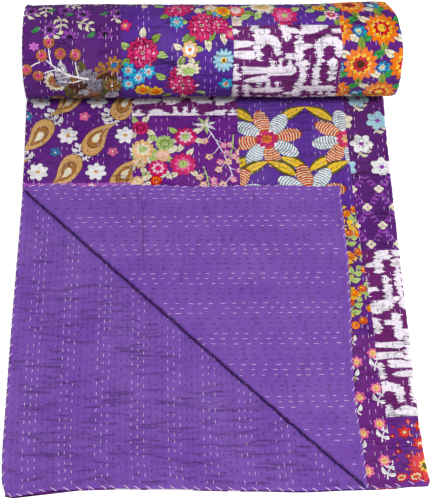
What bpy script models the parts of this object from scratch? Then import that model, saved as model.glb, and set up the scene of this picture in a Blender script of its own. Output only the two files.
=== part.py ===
"""A twin-size kantha quilt: a patchwork face quilted to a plain violet backing by rows of running stitch.

It is folded in half lengthwise, print side out, with the fold on its right. Its far end is rolled up towards
the viewer, and its near end lies flat, with the upper layer's front left corner turned back over a diagonal,
so that the plain backing shows on the turned corner and on the layer below.

Units are metres. X runs to the right, Y away from the viewer, Z up. The quilt rests on z = 0.
u runs over the cloth from the upper layer's left hem to the lower layer's left hem, v from the near hem to
the far one, and q is the height above the underside of the folded quilt.
"""

import math

import bmesh
import bpy
from mathutils import Vector
from mathutils.geometry import delaunay_2d_cdt

# The quilt as cut and sewn
QUILT_WIDTH = 1.52
QUILT_LENGTH = 2.286
CLOTH = 0.0023  # thickness of the face, and of the backing
PARTING = 0.0003  # between the face and the backing
STITCH_ROW = 0.011  # from one row of running stitch to the next
ROW_DEPTH = 0.0007  # how far the stitches draw the cloth in
HEM_WIDTH = 0.009  # flat edge that the rows of quilting stop short of

# The lengthwise fold
LAYER_GAP = 0.002  # between the folded layers
LEFT_EDGE_X = -0.3825
FOLD_STEPS = 6

# The turned-back corner
CORNER_LEG = 0.649  # from the corner to the diagonal, along either hem

# The roll
ROLL_START_Y = 0.921  # behind the near hem, where the cloth leaves the ground
ROLL_RADIUS = 0.108
OUTER_PITCH = 0.0175  # from the outer turn to the next
PITCH_GROWTH = 0.0014  # the turns lie looser towards the middle
ROLL_SETTLE = 0.0015  # how far the roll sinks into its own flat spot
TURN_STEPS = 20
CORE_DEPTH = 0.025
CORE_TAPER = 0.9
GROUND_SHARE = 0.06  # share of a turn over which the outer turn lies flat and smooth on the ground
LUMP = 0.0012  # uneven winding
END_SHIFT = 0.003  # how far the turns slide past each other at the roll's ends
SEAT_GAP = 0.0003  # between the roll and the cloth that runs into it

# Spacing of the points that carry the shape
ROW_POINT_STEP = 0.07  # along a row of quilting
EDGE_POINT_STEP = 0.065
MERGE = 1e-6  # points nearer than this are one
CLEAR_OF_FOLD = 0.003  # between a fold's bend and the nearest row of quilting
GAPE_POINTS = (0.25, 0.55, 0.85, 1.1)  # shares of GAPE_REACH

QUILT = 2 * CLOTH + PARTING  # thickness of the two cloths together
HALF = QUILT / 2
FOLD_RADIUS = HALF + LAYER_GAP / 2
FOLD_REACH = FOLD_RADIUS * math.pi / 2
HALF_WIDTH = QUILT_WIDTH / 2
FOLD_X = LEFT_EDGE_X + HALF_WIDTH - FOLD_REACH
LOWER_MID = HALF
UPPER_MID = 3 * HALF + LAYER_GAP
FLAT_END = ROLL_START_Y - SEAT_GAP

# How the edges wander. Each row: place along the edge, and how far the edge lies off its straight line.
LEFT_EDGE = ((0.0, 0.0045), (0.085, -0.0005), (0.3, -0.001), (0.67, 0.001), (0.88, -0.0035))
FOLD_EDGE = ((0.0, 0.007), (0.06, 0.003), (0.135, 0.0), (0.29, -0.001), (0.47, -0.003), (0.65, -0.0045),
             (0.87, -0.004))
LOWER_FRONT = ((-0.37, -0.0105), (-0.345, -0.004), (-0.3, 0.004), (-0.2, 0.007), (-0.11, 0.005),
               (0.06, 0.0), (0.15, -0.0027), (0.25, 0.0), (0.38, 0.004))
UPPER_FRONT = ((0.27, -0.002), (0.32, 0.001), (0.345, 0.004), (0.37, 0.008), (0.38, 0.009))
CORNER_SIDE_HEM = ((0.0, -0.002), (0.05, 0.001), (0.12, -0.001), (0.16, -0.004), (0.24, -0.003),
                   (0.3, -0.001), (0.37, 0.003), (0.475, 0.006), (0.53, 0.004), (0.65, 0.002))
CORNER_TOP_HEM = ((-0.38, 0.001), (-0.3, 0.005), (-0.25, 0.0), (-0.16, 0.003), (-0.09, 0.0),
                  (-0.04, -0.0035), (0.06, -0.002), (0.16, -0.002), (0.22, -0.005), (0.27, -0.004))
FRONT_REACH = 0.12  # how far in from the front the wandering of the front hem is felt
HEM_REACH = 0.09

# How far the fold gapes. Each row: place behind the near hem, and how much higher the upper layer lies.
FOLD_GAPE = ((0.0, 0.0075), (0.06, 0.0065), (0.2, 0.003), (0.35, 0.0015), (0.6, 0.0))
GAPE_REACH = 0.065

# The ends of the roll. Each row: angle in degrees up from the ground at the back, and place along X.
ROLL_LEFT_END = ((0, -0.381), (90, -0.374), (180, -0.374), (270, -0.377), (330, -0.380), (360, -0.381))
ROLL_RIGHT_END = ((0, 0.381), (90, 0.373), (140, 0.371), (180, 0.388), (215, 0.395), (260, 0.392),
                  (310, 0.389), (360, 0.386))

# Section through one turn at the roll's ends: two hems on the left, and the fold on the right.
# Each row: depth into the turn as a share of the pitch, depth added to that, and distance in from the end.
LEFT_TURN = ((0.0, 0.0, 0.0), (0.0, QUILT, 0.0), (0.25, HALF, 0.006), (0.5, 0.0, 0.0), (0.5, QUILT, 0.0),
             (0.75, HALF, 0.010))
RIGHT_TURN = ((0.0, 0.0, 0.0073), (0.06, 0.0007, 0.0020), (0.25, HALF, 0.0), (0.44, QUILT - 0.0007, 0.0020),
              (0.5, QUILT, 0.0073), (0.75, HALF, 0.016))
STEP_COLUMNS = 4  # columns of quilting that the corner of the step spans

VIOLET = (0.115, 0.036, 0.39, 1.0)
PRINTED = (0.20, 0.035, 0.23, 1.0)
CLOTH_ROUGHNESS = 0.9


def between(table, at):
    """The table's value at this place, eased from one row to the next."""
    low = table[0]
    for high in table:
        if at <= high[0]:
            span = high[0] - low[0]
            share = (at - low[0]) / span if span > 0 else 1.0
            share = max(0.0, share)
            return low[1] + (high[1] - low[1]) * share * share * (3 - 2 * share)
        low = high
    return low[1]


def fade(distance, reach):
    """1 at the edge, easing to 0 at reach."""
    share = min(1.0, max(0.0, distance / reach))
    return (1 - share) ** 2 * (1 + 2 * share)


def across_fold(u, out):
    """(x, q, share of the upper layer) of the folded quilt, at this distance out towards the print side."""
    past = u - HALF_WIDTH
    if past < -FOLD_REACH:
        return FOLD_X + past + FOLD_REACH, UPPER_MID + out, 1.0
    if past > FOLD_REACH:
        return FOLD_X - (past - FOLD_REACH), LOWER_MID - out, 0.0
    angle = past / FOLD_RADIUS
    radius = FOLD_RADIUS + out
    height = (LOWER_MID + UPPER_MID) / 2 - radius * math.sin(angle)
    return FOLD_X + radius * math.cos(angle), height, (1 - math.sin(angle)) / 2


def turned_corner(u, v, out):
    """(x, y, q) of the upper layer's corner where it bends up and over the diagonal and lies face down."""
    past = (CORNER_LEG - u - v) / math.sqrt(2)
    bend_q = UPPER_MID + FOLD_RADIUS
    if past > FOLD_REACH:
        x = LEFT_EDGE_X + CORNER_LEG - v
        y = CORNER_LEG - u
        x += between(CORNER_SIDE_HEM, y) * fade(v, HEM_REACH)
        y += between(CORNER_TOP_HEM, x) * fade(u, HEM_REACH)
        return x, y, bend_q + FOLD_RADIUS - out
    angle = past / FOLD_RADIUS
    radius = FOLD_RADIUS - out
    towards_corner = -FOLD_REACH + radius * math.cos(angle)
    shift = (past - towards_corner) / math.sqrt(2)
    return LEFT_EDGE_X + u + shift, v + shift, bend_q + radius * math.sin(angle)


def on_quilt(u, v, out):
    """The place in space of a point of the flat length."""
    if u + v < CORNER_LEG + FOLD_REACH * math.sqrt(2):
        x, y, q = turned_corner(u, v, out)
        upper = 1.0
    else:
        x, q, upper = across_fold(u, out)
        y = v
    share = (x - LEFT_EDGE_X) / (FOLD_X - LEFT_EDGE_X)
    from_front = max(0.0, y)
    front = between(UPPER_FRONT, x) * upper + between(LOWER_FRONT, x) * (1 - upper)
    gape = between(FOLD_GAPE, from_front) * fade(FOLD_X - x, GAPE_REACH) * upper
    sideways = between(LEFT_EDGE, from_front) * (1 - share) + between(FOLD_EDGE, from_front) * share
    return Vector((x + sideways, y + front * fade(from_front, FRONT_REACH), q + gape))


def spread(start, end, step):
    """Evenly spaced places from start to end, both included."""
    count = max(1, round(abs(end - start) / step))
    return [start + (end - start) * i / count for i in range(count + 1)]


def bend_offsets():
    return [FOLD_REACH * (2 * i / FOLD_STEPS - 1) for i in range(FOLD_STEPS + 1)]


def line_points(start, end, step):
    start, end = Vector(start), Vector(end)
    return [tuple(start.lerp(end, share)) for share in spread(0, 1, step / (end - start).length)]


def gape_places():
    """Where the upper layer needs points to rise towards the gaping fold: ridges between two stitch rows."""
    places = []
    for share in GAPE_POINTS:
        row = round((HALF_WIDTH - FOLD_REACH - share * GAPE_REACH) / STITCH_ROW - 0.5)
        places.append((row + 0.5) * STITCH_ROW)
    return places


def fold_lines():
    """The lines over the flat cloth on which it bends: along the fold and over the corner."""
    lines = [line_points((u, 0.0), (u, FLAT_END), EDGE_POINT_STEP) for u in gape_places()]
    for offset in bend_offsets():
        u = HALF_WIDTH + offset
        lines.append(line_points((u, 0.0), (u, FLAT_END), EDGE_POINT_STEP))
        leg = CORNER_LEG - offset * math.sqrt(2)
        lines.append(line_points((0.0, leg), (leg, 0.0), EDGE_POINT_STEP))
    return lines


def outline():
    """The points around the flat cloth, in order. Every surface of both cloths shares them."""
    bends = [line[0] for line in fold_lines()] + [line[-1] for line in fold_lines()]
    corners = ((0.0, 0.0), (QUILT_WIDTH, 0.0), (QUILT_WIDTH, FLAT_END), (0.0, FLAT_END))
    points = []
    for side, start in enumerate(corners):
        end = corners[(side + 1) % len(corners)]
        axis = side % 2
        fixed = 1 - axis
        low, high = sorted((start[axis], end[axis]))
        mine = [p for p in bends if abs(p[fixed] - start[fixed]) < PARTING and low < p[axis] < high]
        plain = line_points(start, end, EDGE_POINT_STEP)[1:-1]
        plain = [p for p in plain if all(abs(p[axis] - bend[axis]) > FOLD_REACH for bend in mine)]
        points.append(start)
        points += sorted(mine + plain, key=lambda p: abs(p[axis] - start[axis]))
    return points


def clear_of_folds(u, v):
    off_diagonal = abs(CORNER_LEG - u - v) / math.sqrt(2)
    return min(off_diagonal, abs(u - HALF_WIDTH)) > FOLD_REACH + CLEAR_OF_FOLD


def quilting_lines(shows):
    """Lines along the stitch rows and midway between them, where shows(u, v) says that this side shows."""
    lines = []
    taken = gape_places()
    for i in range(1, round(2 * QUILT_WIDTH / STITCH_ROW)):
        u = i * STITCH_ROW / 2
        inside_hems = HEM_WIDTH < u < QUILT_WIDTH - HEM_WIDTH
        if not inside_hems or min(abs(u - place) for place in taken) < PARTING:
            continue
        run = []
        for v in spread(HEM_WIDTH, FLAT_END - HEM_WIDTH, ROW_POINT_STEP / 4):
            if shows(u, v) and clear_of_folds(u, v):
                run.append(v)
        if len(run) > 1:
            lines.append([(u, v) for v in spread(run[0], run[-1], ROW_POINT_STEP)])
    return lines


def print_shows(u, v):
    return u < HALF_WIDTH and u + v > CORNER_LEG


def corner_shows(u, v):
    return u + v < CORNER_LEG


def lower_backing_shows(u, v):
    return u > HALF_WIDTH and QUILT_WIDTH - u + v < CORNER_LEG


def surface(lines, out, quilted):
    """Points and triangles of one side of a cloth. quilted sinks the stitch rows of the given lines."""
    flat, edges, sunk = [], [], []
    border = outline()
    paths = [(border + border[:1], False)]
    paths += [(line, False) for line in fold_lines()]
    paths += [(line, True) for line in lines]
    for path, is_row in paths:
        first = len(flat)
        flat += [Vector(p) for p in path]
        sunk += [is_row] * len(path)
        edges += [(first + i, first + i + 1) for i in range(len(path) - 1)]
    inside_only = 1
    merged, _, triangles, sources, _, _ = delaunay_2d_cdt(flat, edges, [], inside_only, MERGE)
    points = []
    for place, source in zip(merged, sources):
        is_row = any(sunk[i] for i in source)
        on_stitches = round(2 * place.x / STITCH_ROW) % 2 == 0
        depth = quilted * ROW_DEPTH if is_row and on_stitches else 0.0
        points.append((place.x, place.y, on_quilt(place.x, place.y, out - math.copysign(depth, out))))
    border_ids = {}
    for index, source in enumerate(sources):
        for i in source:
            if i < len(border):
                border_ids[i] = index
    return points, triangles, [border_ids[i] for i in range(len(border))]


def sheet_mesh(name, face_side, inner_side):
    """One closed sheet from its two surfaces, which share the outline."""
    shape = bmesh.new()
    rims = []
    for (points, triangles, rim), turned in ((face_side, False), (inner_side, True)):
        made = [shape.verts.new(place) for _, _, place in points]
        for triangle in triangles:
            corners = [made[i] for i in triangle]
            shape.faces.new(corners[::-1] if turned else corners)
        rims.append([made[i] for i in rim])
    outer, inner = rims
    for i in range(len(outer)):
        j = (i + 1) % len(outer)
        shape.faces.new((outer[j], outer[i], inner[i], inner[j]))
    return finished(name, shape)


def finished(name, shape):
    """The mesh object of this shape, with its faces turned out."""
    bmesh.ops.triangulate(shape, faces=shape.faces[:], quad_method="BEAUTY", ngon_method="BEAUTY")
    if shape.calc_volume(signed=True) < 0:
        bmesh.ops.reverse_faces(shape, faces=shape.faces[:])
    mesh = bpy.data.meshes.new(name)
    shape.to_mesh(mesh)
    shape.free()
    mesh.shade_smooth()
    mesh.set_sharp_from_angle(angle=math.radians(50))
    made = bpy.data.objects.new(name, mesh)
    bpy.context.scene.collection.objects.link(made)
    return made


def roll_radius(winding):
    """The outside of the rolled quilt after this many turns."""
    return ROLL_RADIUS - OUTER_PITCH * winding - PITCH_GROWTH * winding ** 2


def roll_pitch(winding):
    return roll_radius(winding) - roll_radius(winding + 1)


def on_roll(winding, depth, x, lumps=0.0):
    """A point of the roll, this many turns from the ground and this deep below the outside of its turn."""
    angle = 2 * math.pi * winding
    uneven = math.sin(9 * x + 2 * angle) + 0.6 * math.sin(23 * x - 3 * angle + 1)
    radius = roll_radius(winding) - depth + lumps * uneven
    y = ROLL_START_Y + radius * math.sin(angle)
    z = ROLL_RADIUS - ROLL_SETTLE - radius * math.cos(angle)
    return Vector((x, y, max(0.0, z)))


def winding_steps():
    """How many steps of a turn take up the length of the quilt that isn't lying flat."""
    wanted = QUILT_LENGTH - ROLL_START_Y
    steps, length = 0, 0.0
    while length < wanted:
        winding = steps / TURN_STEPS
        middle = roll_radius(winding) - roll_pitch(winding) / 4 - HALF
        length += 2 * math.pi * middle / TURN_STEPS
        steps += 1
    return steps


def end_x(table, winding, inwards):
    """Where the roll ends along X: the table on the outer turn, drifting a little on the turns inside it."""
    degrees = 360 * winding if winding <= 1 else 360 * (winding % 1.0)
    drift = END_SHIFT * math.sin(4.1 * winding) * min(1.0, max(0.0, winding - 1))
    return between(table, degrees) + inwards * drift


def end_point(winding, depth, edge, set_in, inwards):
    return on_roll(winding, depth, edge + inwards * set_in)


def roll_end(shape, side, table, section, inwards, steps):
    """One end of the roll: a ribbon that follows the turns inwards, ridged with their layers."""
    rings = []
    for i in range(steps + 1):
        winding = i / TURN_STEPS
        edge = end_x(table, winding, inwards)
        ring = []
        for share, added, set_in in section:
            depth = share * roll_pitch(winding) + added
            if not ring and i < len(side):
                ring.append(side[i])
            else:
                ring.append(shape.verts.new(end_point(winding, depth, edge, set_in, inwards)))
        rings.append(ring)
    for i, ring in enumerate(rings):
        if i + TURN_STEPS <= steps:
            ring.append(rings[i + TURN_STEPS][0])
        else:
            winding = i / TURN_STEPS
            edge = end_x(table, winding, inwards)
            set_in = section[-1][2]
            ring.append(shape.verts.new(end_point(winding, roll_pitch(winding), edge, set_in, inwards)))
    for near, far in zip(rings, rings[1:]):
        for m in range(len(near) - 1):
            shape.faces.new((near[m], near[m + 1], far[m + 1], far[m]))
    hollow_core(shape, rings[-1] + [ring[-1] for ring in rings[-2:steps - TURN_STEPS:-1]], inwards)
    return rings[0]


def hollow_core(shape, mouth, inwards):
    """The hollow in the middle of the roll, from the points round its mouth to a flat bottom."""
    axis_y, axis_z = ROLL_START_Y, ROLL_RADIUS - ROLL_SETTLE
    floor_x = mouth[0].co.x + inwards * CORE_DEPTH
    floor = []
    for vert in mouth:
        y = axis_y + CORE_TAPER * (vert.co.y - axis_y)
        z = axis_z + CORE_TAPER * (vert.co.z - axis_z)
        floor.append(shape.verts.new((floor_x, y, z)))
    centre = shape.verts.new((floor_x, axis_y, axis_z))
    for i in range(len(mouth)):
        j = (i + 1) % len(mouth)
        shape.faces.new((mouth[i], mouth[j], floor[j], floor[i]))
        shape.faces.new((floor[i], floor[j], centre))


def roll_mesh(name):
    """The rolled length as one solid, with the step at its foot where the flat length runs in."""
    shape = bmesh.new()
    steps = winding_steps()
    columns = 2 * round(HALF_WIDTH / STITCH_ROW)
    outside = []
    for i in range(TURN_STEPS + 1):
        winding = i / TURN_STEPS
        left = end_x(ROLL_LEFT_END, winding, 1) + LEFT_TURN[0][2]
        right = end_x(ROLL_RIGHT_END, winding, -1) - RIGHT_TURN[0][2]
        off_ground = 1 - fade(winding, GROUND_SHARE) - fade(1 - winding, GROUND_SHARE)
        row = []
        for k in range(columns + 1):
            x = left + (right - left) * k / columns
            inside_ends = off_ground if 0 < k < columns else 0.0
            sunk = 0.0 if k % 2 else ROW_DEPTH * inside_ends
            row.append(shape.verts.new(on_roll(winding, sunk, x, LUMP * inside_ends)))
        outside.append(row)
    for near, far in zip(outside, outside[1:]):
        for k in range(columns):
            shape.faces.new((near[k], far[k], far[k + 1], near[k + 1]))
    left_edge = roll_end(shape, [row[0] for row in outside], ROLL_LEFT_END, LEFT_TURN, 1, steps)
    right_edge = roll_end(shape, [row[-1] for row in outside], ROLL_RIGHT_END, RIGHT_TURN, -1, steps)
    ground, landing = outside[0], outside[-1]
    near_left, near_right = STEP_COLUMNS, columns - STEP_COLUMNS
    for k in range(near_left, near_right):
        shape.faces.new((ground[k], ground[k + 1], landing[k + 1], landing[k]))
    shape.faces.new(left_edge + landing[1:near_left + 1] + ground[near_left:0:-1])
    shape.faces.new(right_edge + landing[-2:near_right - 1:-1] + ground[near_right:-1])
    bmesh.ops.recalc_face_normals(shape, faces=shape.faces[:])
    return finished(name, shape)


def cloth_material(name, colour):
    material = bpy.data.materials.new(name)
    material.use_nodes = True
    shader = material.node_tree.nodes["Principled BSDF"]
    shader.inputs["Base Color"].default_value = colour
    shader.inputs["Roughness"].default_value = CLOTH_ROUGHNESS
    shader.inputs["Metallic"].default_value = 0.0
    material.diffuse_color = colour
    return material


def centre_on_origin(objects):
    """Moves the quilt so that the middle of its underside is the origin."""
    places = [vert.co for made in objects for vert in made.data.vertices]
    middle = [(min(p[axis] for p in places) + max(p[axis] for p in places)) / 2 for axis in (0, 1)]
    for made in objects:
        for vert in made.data.vertices:
            vert.co.x -= middle[0]
            vert.co.y -= middle[1]
    return middle


def main():
    for old in list(bpy.data.objects):
        bpy.data.objects.remove(old)
    hidden = {side: surface([], side * PARTING / 2, 0) for side in (1, -1)}
    printed = surface(quilting_lines(print_shows), HALF, 1)
    plain_rows = quilting_lines(corner_shows) + quilting_lines(lower_backing_shows)
    plain = surface(plain_rows, -HALF, 1)
    face = sheet_mesh("patchwork_face", printed, hidden[1])
    backing = sheet_mesh("backing", plain, hidden[-1])
    roll = roll_mesh("rolled_length")
    for made, colour in ((face, PRINTED), (backing, VIOLET), (roll, PRINTED)):
        made.data.materials.append(cloth_material(made.name + "_cloth", colour))
    middle = centre_on_origin((face, backing, roll))
    print("middle of the underside, from the near hem's middle:", [round(m, 5) for m in middle])
    for made in (face, backing, roll):
        print(made.name, len(made.data.polygons), "triangles")


main()
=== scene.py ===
"""The look of a kantha quilt: printed patches, a plain violet backing and rows of running stitch.

The quilt is folded in half lengthwise, print side out, its far end is rolled up towards the viewer, and the
upper layer's near left corner is turned back. The sizes and the tables of the folds are those of the solids.

u runs over the cloth from the upper layer's left hem, across the fold, to the lower layer's left hem. v runs
from the near hem to the far one. out is the distance from the middle of the two cloths towards the print.
"""
import math

import bpy
import numpy as np
from mathutils import Matrix, Vector
from mathutils.geometry import delaunay_2d_cdt


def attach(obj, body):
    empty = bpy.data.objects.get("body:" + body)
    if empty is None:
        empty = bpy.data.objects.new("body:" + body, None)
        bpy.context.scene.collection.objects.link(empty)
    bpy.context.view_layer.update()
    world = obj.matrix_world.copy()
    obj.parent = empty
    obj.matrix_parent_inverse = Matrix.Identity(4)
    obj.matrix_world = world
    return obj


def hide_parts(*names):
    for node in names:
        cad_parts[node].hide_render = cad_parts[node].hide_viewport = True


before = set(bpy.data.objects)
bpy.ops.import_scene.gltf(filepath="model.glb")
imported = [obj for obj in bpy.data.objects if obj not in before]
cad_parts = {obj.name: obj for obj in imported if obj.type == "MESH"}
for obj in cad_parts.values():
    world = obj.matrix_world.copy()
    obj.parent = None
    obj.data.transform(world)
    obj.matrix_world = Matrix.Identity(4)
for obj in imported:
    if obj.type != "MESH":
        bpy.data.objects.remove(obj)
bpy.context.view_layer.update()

# Sizes of the quilt, in metres, as in the solids
QUILT_WIDTH = 1.52
QUILT_LENGTH = 2.286
HALF = 0.00245
FOLD_RADIUS = 0.00345
FOLD_REACH = FOLD_RADIUS * math.pi / 2
HALF_WIDTH = QUILT_WIDTH / 2
LEFT_EDGE_X = -0.3825
FOLD_X = LEFT_EDGE_X + HALF_WIDTH - FOLD_REACH
CORNER_LEG = 0.649
ROLL_START_Y = 0.921
ROLL_RADIUS = 0.108
OUTER_PITCH = 0.0175
PITCH_GROWTH = 0.0014
ROLL_SETTLE = 0.0015
LUMP = 0.0012
END_SHIFT = 0.003
STITCH_ROW = 0.011
HEM_WIDTH = 0.009
HEM_ROUND = 0.003
HEM_LIP = 0.0026  # of the lower layer's print, past its near hem
FRONT_REACH = 0.12
HEM_REACH = 0.09
GAPE_REACH = 0.065
STITCH_PITCH = 0.0215
CLOSE_PITCH = 0.0178  # on the lower layer's plain side
ROWS_ALIKE = 3  # rows of pale thread, then as many of dark
THREAD_TWIST = 0.0014
WHIP_PITCH = 0.021
CREASE_STEP = 0.0042
BLUNT_CORNER = 0.006  # how far the lower layer's near left corner falls short of a square one
CORNER_REACH = 0.032
THINNEST = 0.0003  # from the middle of the two cloths to either face, however hard the stitches pull
BILLOW = 0.0014  # of the rolled cloth between its rows
MIDDLE = (0.00591, 0.50767)  # of the underside, from the middle of the near hem
CORNER_LIFT = 0.002  # of the turned corner over the layer below it
FOLD_OPENS, FOLD_OPENING = 0.82, 0.1  # where the fold starts to widen for the roll, and over what length
SIDES_TURN, SIDES_TURNING = 0.86, 0.12  # where the sides pass over into the roll's ends
SWELLS_END, SWELLS_FADE = 0.86, 0.1
OFF_GROUND = 0.06  # turns away from the ground, where the roll's lumps start
SWELL = 0.0007
FIELD_SIZE, FIELD_MARGIN = (2.0, 2.8), 0.2  # of the random fields over the flat cloth
STITCHED_END = 1.6  # how far along the quilt threads are laid, well inside the roll

# Relief of the quilting, in metres
FURROW_DEPTH = 0.0008
PUCKER_DEPTH = 0.0003
DRAWN_IN = 0.0003  # everywhere but at the hems
LONG_RIPPLE, SHORT_RIPPLE = 0.0012, 0.0006
LONG_WANDER, SHORT_WANDER = 0.0014, 0.0007  # of the stitch rows
SEAM_DEPTH, SEAM_SPREAD = 0.0005, 0.0016
HEM_SWELL, HEM_SWELL_END, HEM_SWELL_FADE = 0.0005, 0.004, 0.006
CREASE_REACH = 0.014
CREASE_BANK, BANK_SPREAD = 0.0045, 0.003  # the swollen side of a crease, from its deepest line
# the second: how wide the painted shade lies along a crease's deepest line, also the spacing of the points
# that keep it sharp
VALLEY_SPREAD, SHADE_SPREAD = 0.002, 0.0012
FULL_SHADE_DEPTH = 0.0008  # of a crease whose painted shade is as dark as it gets
CREASE_LIMITS = (-0.0016, 0.0012)
CREASE_PIECE, CREASE_STRAY = 0.009, 0.0022  # of the small random ones

# Meshes and threads, in metres
HEM_CLEAR = 0.0075  # inside it the points follow the hem
COARSE_STEP = 0.0135
BACKING_FINE, BACKING_STEP = (0.682, 0.6768), 0.0033  # its fine points: their ends in u and v, step in v
PRINT_STEP, RESIST_STEP, HIDDEN_RESIST_STEP = 0.0034, 0.0025, 0.007
HEM_STEPS = (0.0055, 0.0047)  # across and along
BEND_REACH = 0.008  # of the fine points to both sides of the lengthwise fold
CREASE_CLEAR = 0.0015  # from a crease's points to the patch's outline
SKIRT = 0.03  # fine cloth past the edges of what shows
MISSED = 0.05  # share of the stitches
RUNNING_THREAD = (0.00055, 0.0005)  # half width and height
HEM_THREAD = (0.00062, 0.00062)
STITCH_SLANT = 0.0009
STITCH_SHARES = {1: (0.42, 0.62), -1: (0.3, 0.6)}  # least and most of the pitch, on the print and the backing
STITCH_STRAY = 0.16  # of the pitch, along the row
STITCH_LIFT, STITCH_DIVE = 0.00042, 0.0011  # of its middle over the cloth, and of its ends below that

LEFT_EDGE = ((0.0, 0.0045), (0.085, -0.0005), (0.3, -0.001), (0.67, 0.001), (0.88, -0.0035))
FOLD_EDGE = ((0.0, 0.007), (0.06, 0.003), (0.135, 0.0), (0.29, -0.001), (0.47, -0.003), (0.65, -0.0045),
             (0.87, -0.004))
LOWER_FRONT = ((-0.37, -0.0105), (-0.345, -0.004), (-0.3, 0.004), (-0.2, 0.007), (-0.11, 0.005),
               (0.06, 0.0), (0.15, -0.0027), (0.25, 0.0), (0.38, 0.004))
UPPER_FRONT = ((0.27, -0.002), (0.32, 0.001), (0.345, 0.004), (0.37, 0.008), (0.38, 0.009))
CORNER_SIDE_HEM = ((0.0, -0.002), (0.05, 0.001), (0.12, -0.001), (0.16, -0.004), (0.24, -0.003),
                   (0.3, -0.001), (0.37, 0.003), (0.475, 0.006), (0.53, 0.004), (0.65, 0.002))
CORNER_TOP_HEM = ((-0.38, 0.001), (-0.3, 0.005), (-0.25, 0.0), (-0.16, 0.003), (-0.09, 0.0),
                  (-0.04, -0.0035), (0.06, -0.002), (0.16, -0.002), (0.22, -0.005), (0.27, -0.004))
FOLD_GAPE = ((0.0, 0.0075), (0.06, 0.0065), (0.2, 0.003), (0.35, 0.0015), (0.6, 0.0))
ROLL_LEFT_END = ((0, -0.381), (90, -0.374), (180, -0.374), (270, -0.377), (330, -0.380), (360, -0.381))
ROLL_RIGHT_END = ((0, 0.381), (90, 0.373), (140, 0.371), (180, 0.388), (215, 0.395), (260, 0.392),
                  (310, 0.389), (360, 0.386))

# The seams between the columns of patches. Each row: v, and u of the seam there.
COLUMN_SEAMS = (
    ((0.0, 0.0), (2.286, 0.0)),
    ((0.0, 0.228), (0.7, 0.225), (0.95, 0.223), (2.286, 0.226)),
    ((0.0, 0.449), (0.66, 0.447), (0.95, 0.446), (2.286, 0.449)),
    ((0.0, 0.7025), (0.11, 0.7), (0.3, 0.692), (0.65, 0.677), (0.84, 0.6735), (1.1, 0.676), (2.286, 0.68)),
    ((0.0, 0.883), (1.2, 0.881), (1.45, 0.884), (2.286, 0.88)),
    ((0.0, 1.097), (1.2, 1.0985), (1.45, 1.099), (2.286, 1.103)),
    ((0.0, 1.318), (1.2, 1.3225), (1.45, 1.321), (2.286, 1.317)),
    ((0.0, 1.52), (2.286, 1.52)),
)

# Creases of the plain side. Each row: its depth in metres, and the places along it in millimetres of cloth.
CREASES = (
    (0.0009, ((1517, 379), (1493, 372), (1475, 369))), (0.0009, ((1435, 364), (1420, 370), (1408, 371))),
    (0.0007, ((1389, 368), (1332, 369))), (0.0007, ((1472, 321), (1452, 318), (1436, 318))),
    (0.0006, ((1407, 321), (1388, 321))), (0.0007, ((1361, 324), (1342, 327), (1335, 326))),
    (0.0006, ((1388, 298), (1370, 300))), (0.0008, ((1516, 259), (1492, 262), (1466, 263))),
    (0.0013, ((1463, 231), (1447, 230), (1438, 226), (1423, 226))),
    (0.0013, ((1423, 219), (1415, 216), (1402, 216), (1391, 219), (1374, 220), (1360, 218))),
    (0.0007, ((1368, 184), (1347, 186))), (0.0009, ((1483, 415), (1421, 414))),
    (0.0010, ((1427, 421), (1363, 425), (1281, 417))), (0.0008, ((1382, 164), (1332, 167))),
    (0.0008, ((1097, 110), (1069, 114), (1051, 117))),
    (0.0010, ((1098, 84), (1078, 89), (1058, 95), (1034, 96), (1014, 94))),
    (0.0009, ((1102, 62), (1072, 68), (1032, 69), (1007, 73))), (0.0008, ((992, 83), (957, 82))),
    (0.0007, ((997, 65), (972, 66))), (0.0009, ((1014, 38), (984, 38), (972, 42), (939, 40))),
    (0.0014, ((12, 403), (67, 401), (129, 400), (205, 397))), (0.0008, ((36, 395), (55, 395))),
)


# ---- Folding and rolling -------------------------------------------------------------------------------

def eased(table, at):
    """The table's value at each place, eased from one row to the next."""
    places, values = np.array(table).T
    at = np.clip(at, places[0], places[-1])
    low = np.clip(np.searchsorted(places, at, side="right") - 1, 0, len(places) - 2)
    share = (at - places[low]) / (places[low + 1] - places[low])
    return values[low] + (values[low + 1] - values[low]) * share * share * (3 - 2 * share)


def smooth(share):
    share = np.clip(share, 0.0, 1.0)
    return share * share * (3 - 2 * share)


def fade(distance, reach):
    """1 at the edge, easing to 0 at reach."""
    return 1 - smooth(distance / reach)


def roll_radius(winding):
    return ROLL_RADIUS - OUTER_PITCH * winding - PITCH_GROWTH * winding ** 2


def quarter_pitch(winding):
    return (roll_radius(winding) - roll_radius(winding + 1)) / 4


WINDINGS = np.linspace(0.0, 3.6, 1441)
MID_RADII = roll_radius(WINDINGS) - quarter_pitch(WINDINGS) - HALF
WOUND = np.concatenate(([0.0], np.cumsum(math.pi * (MID_RADII[1:] + MID_RADII[:-1]) * WINDINGS[1])))


def windings(v):
    """How many turns of the roll lie between the ground and this place along the quilt."""
    return np.interp(v - ROLL_START_Y, WOUND, WINDINGS)


def end_x(table, winding, inwards):
    degrees = 360 * np.where(winding <= 1, winding, winding % 1.0)
    drift = END_SHIFT * np.sin(4.1 * winding) * np.clip(winding - 1, 0, 1)
    return eased(table, degrees) + inwards * drift


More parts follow.
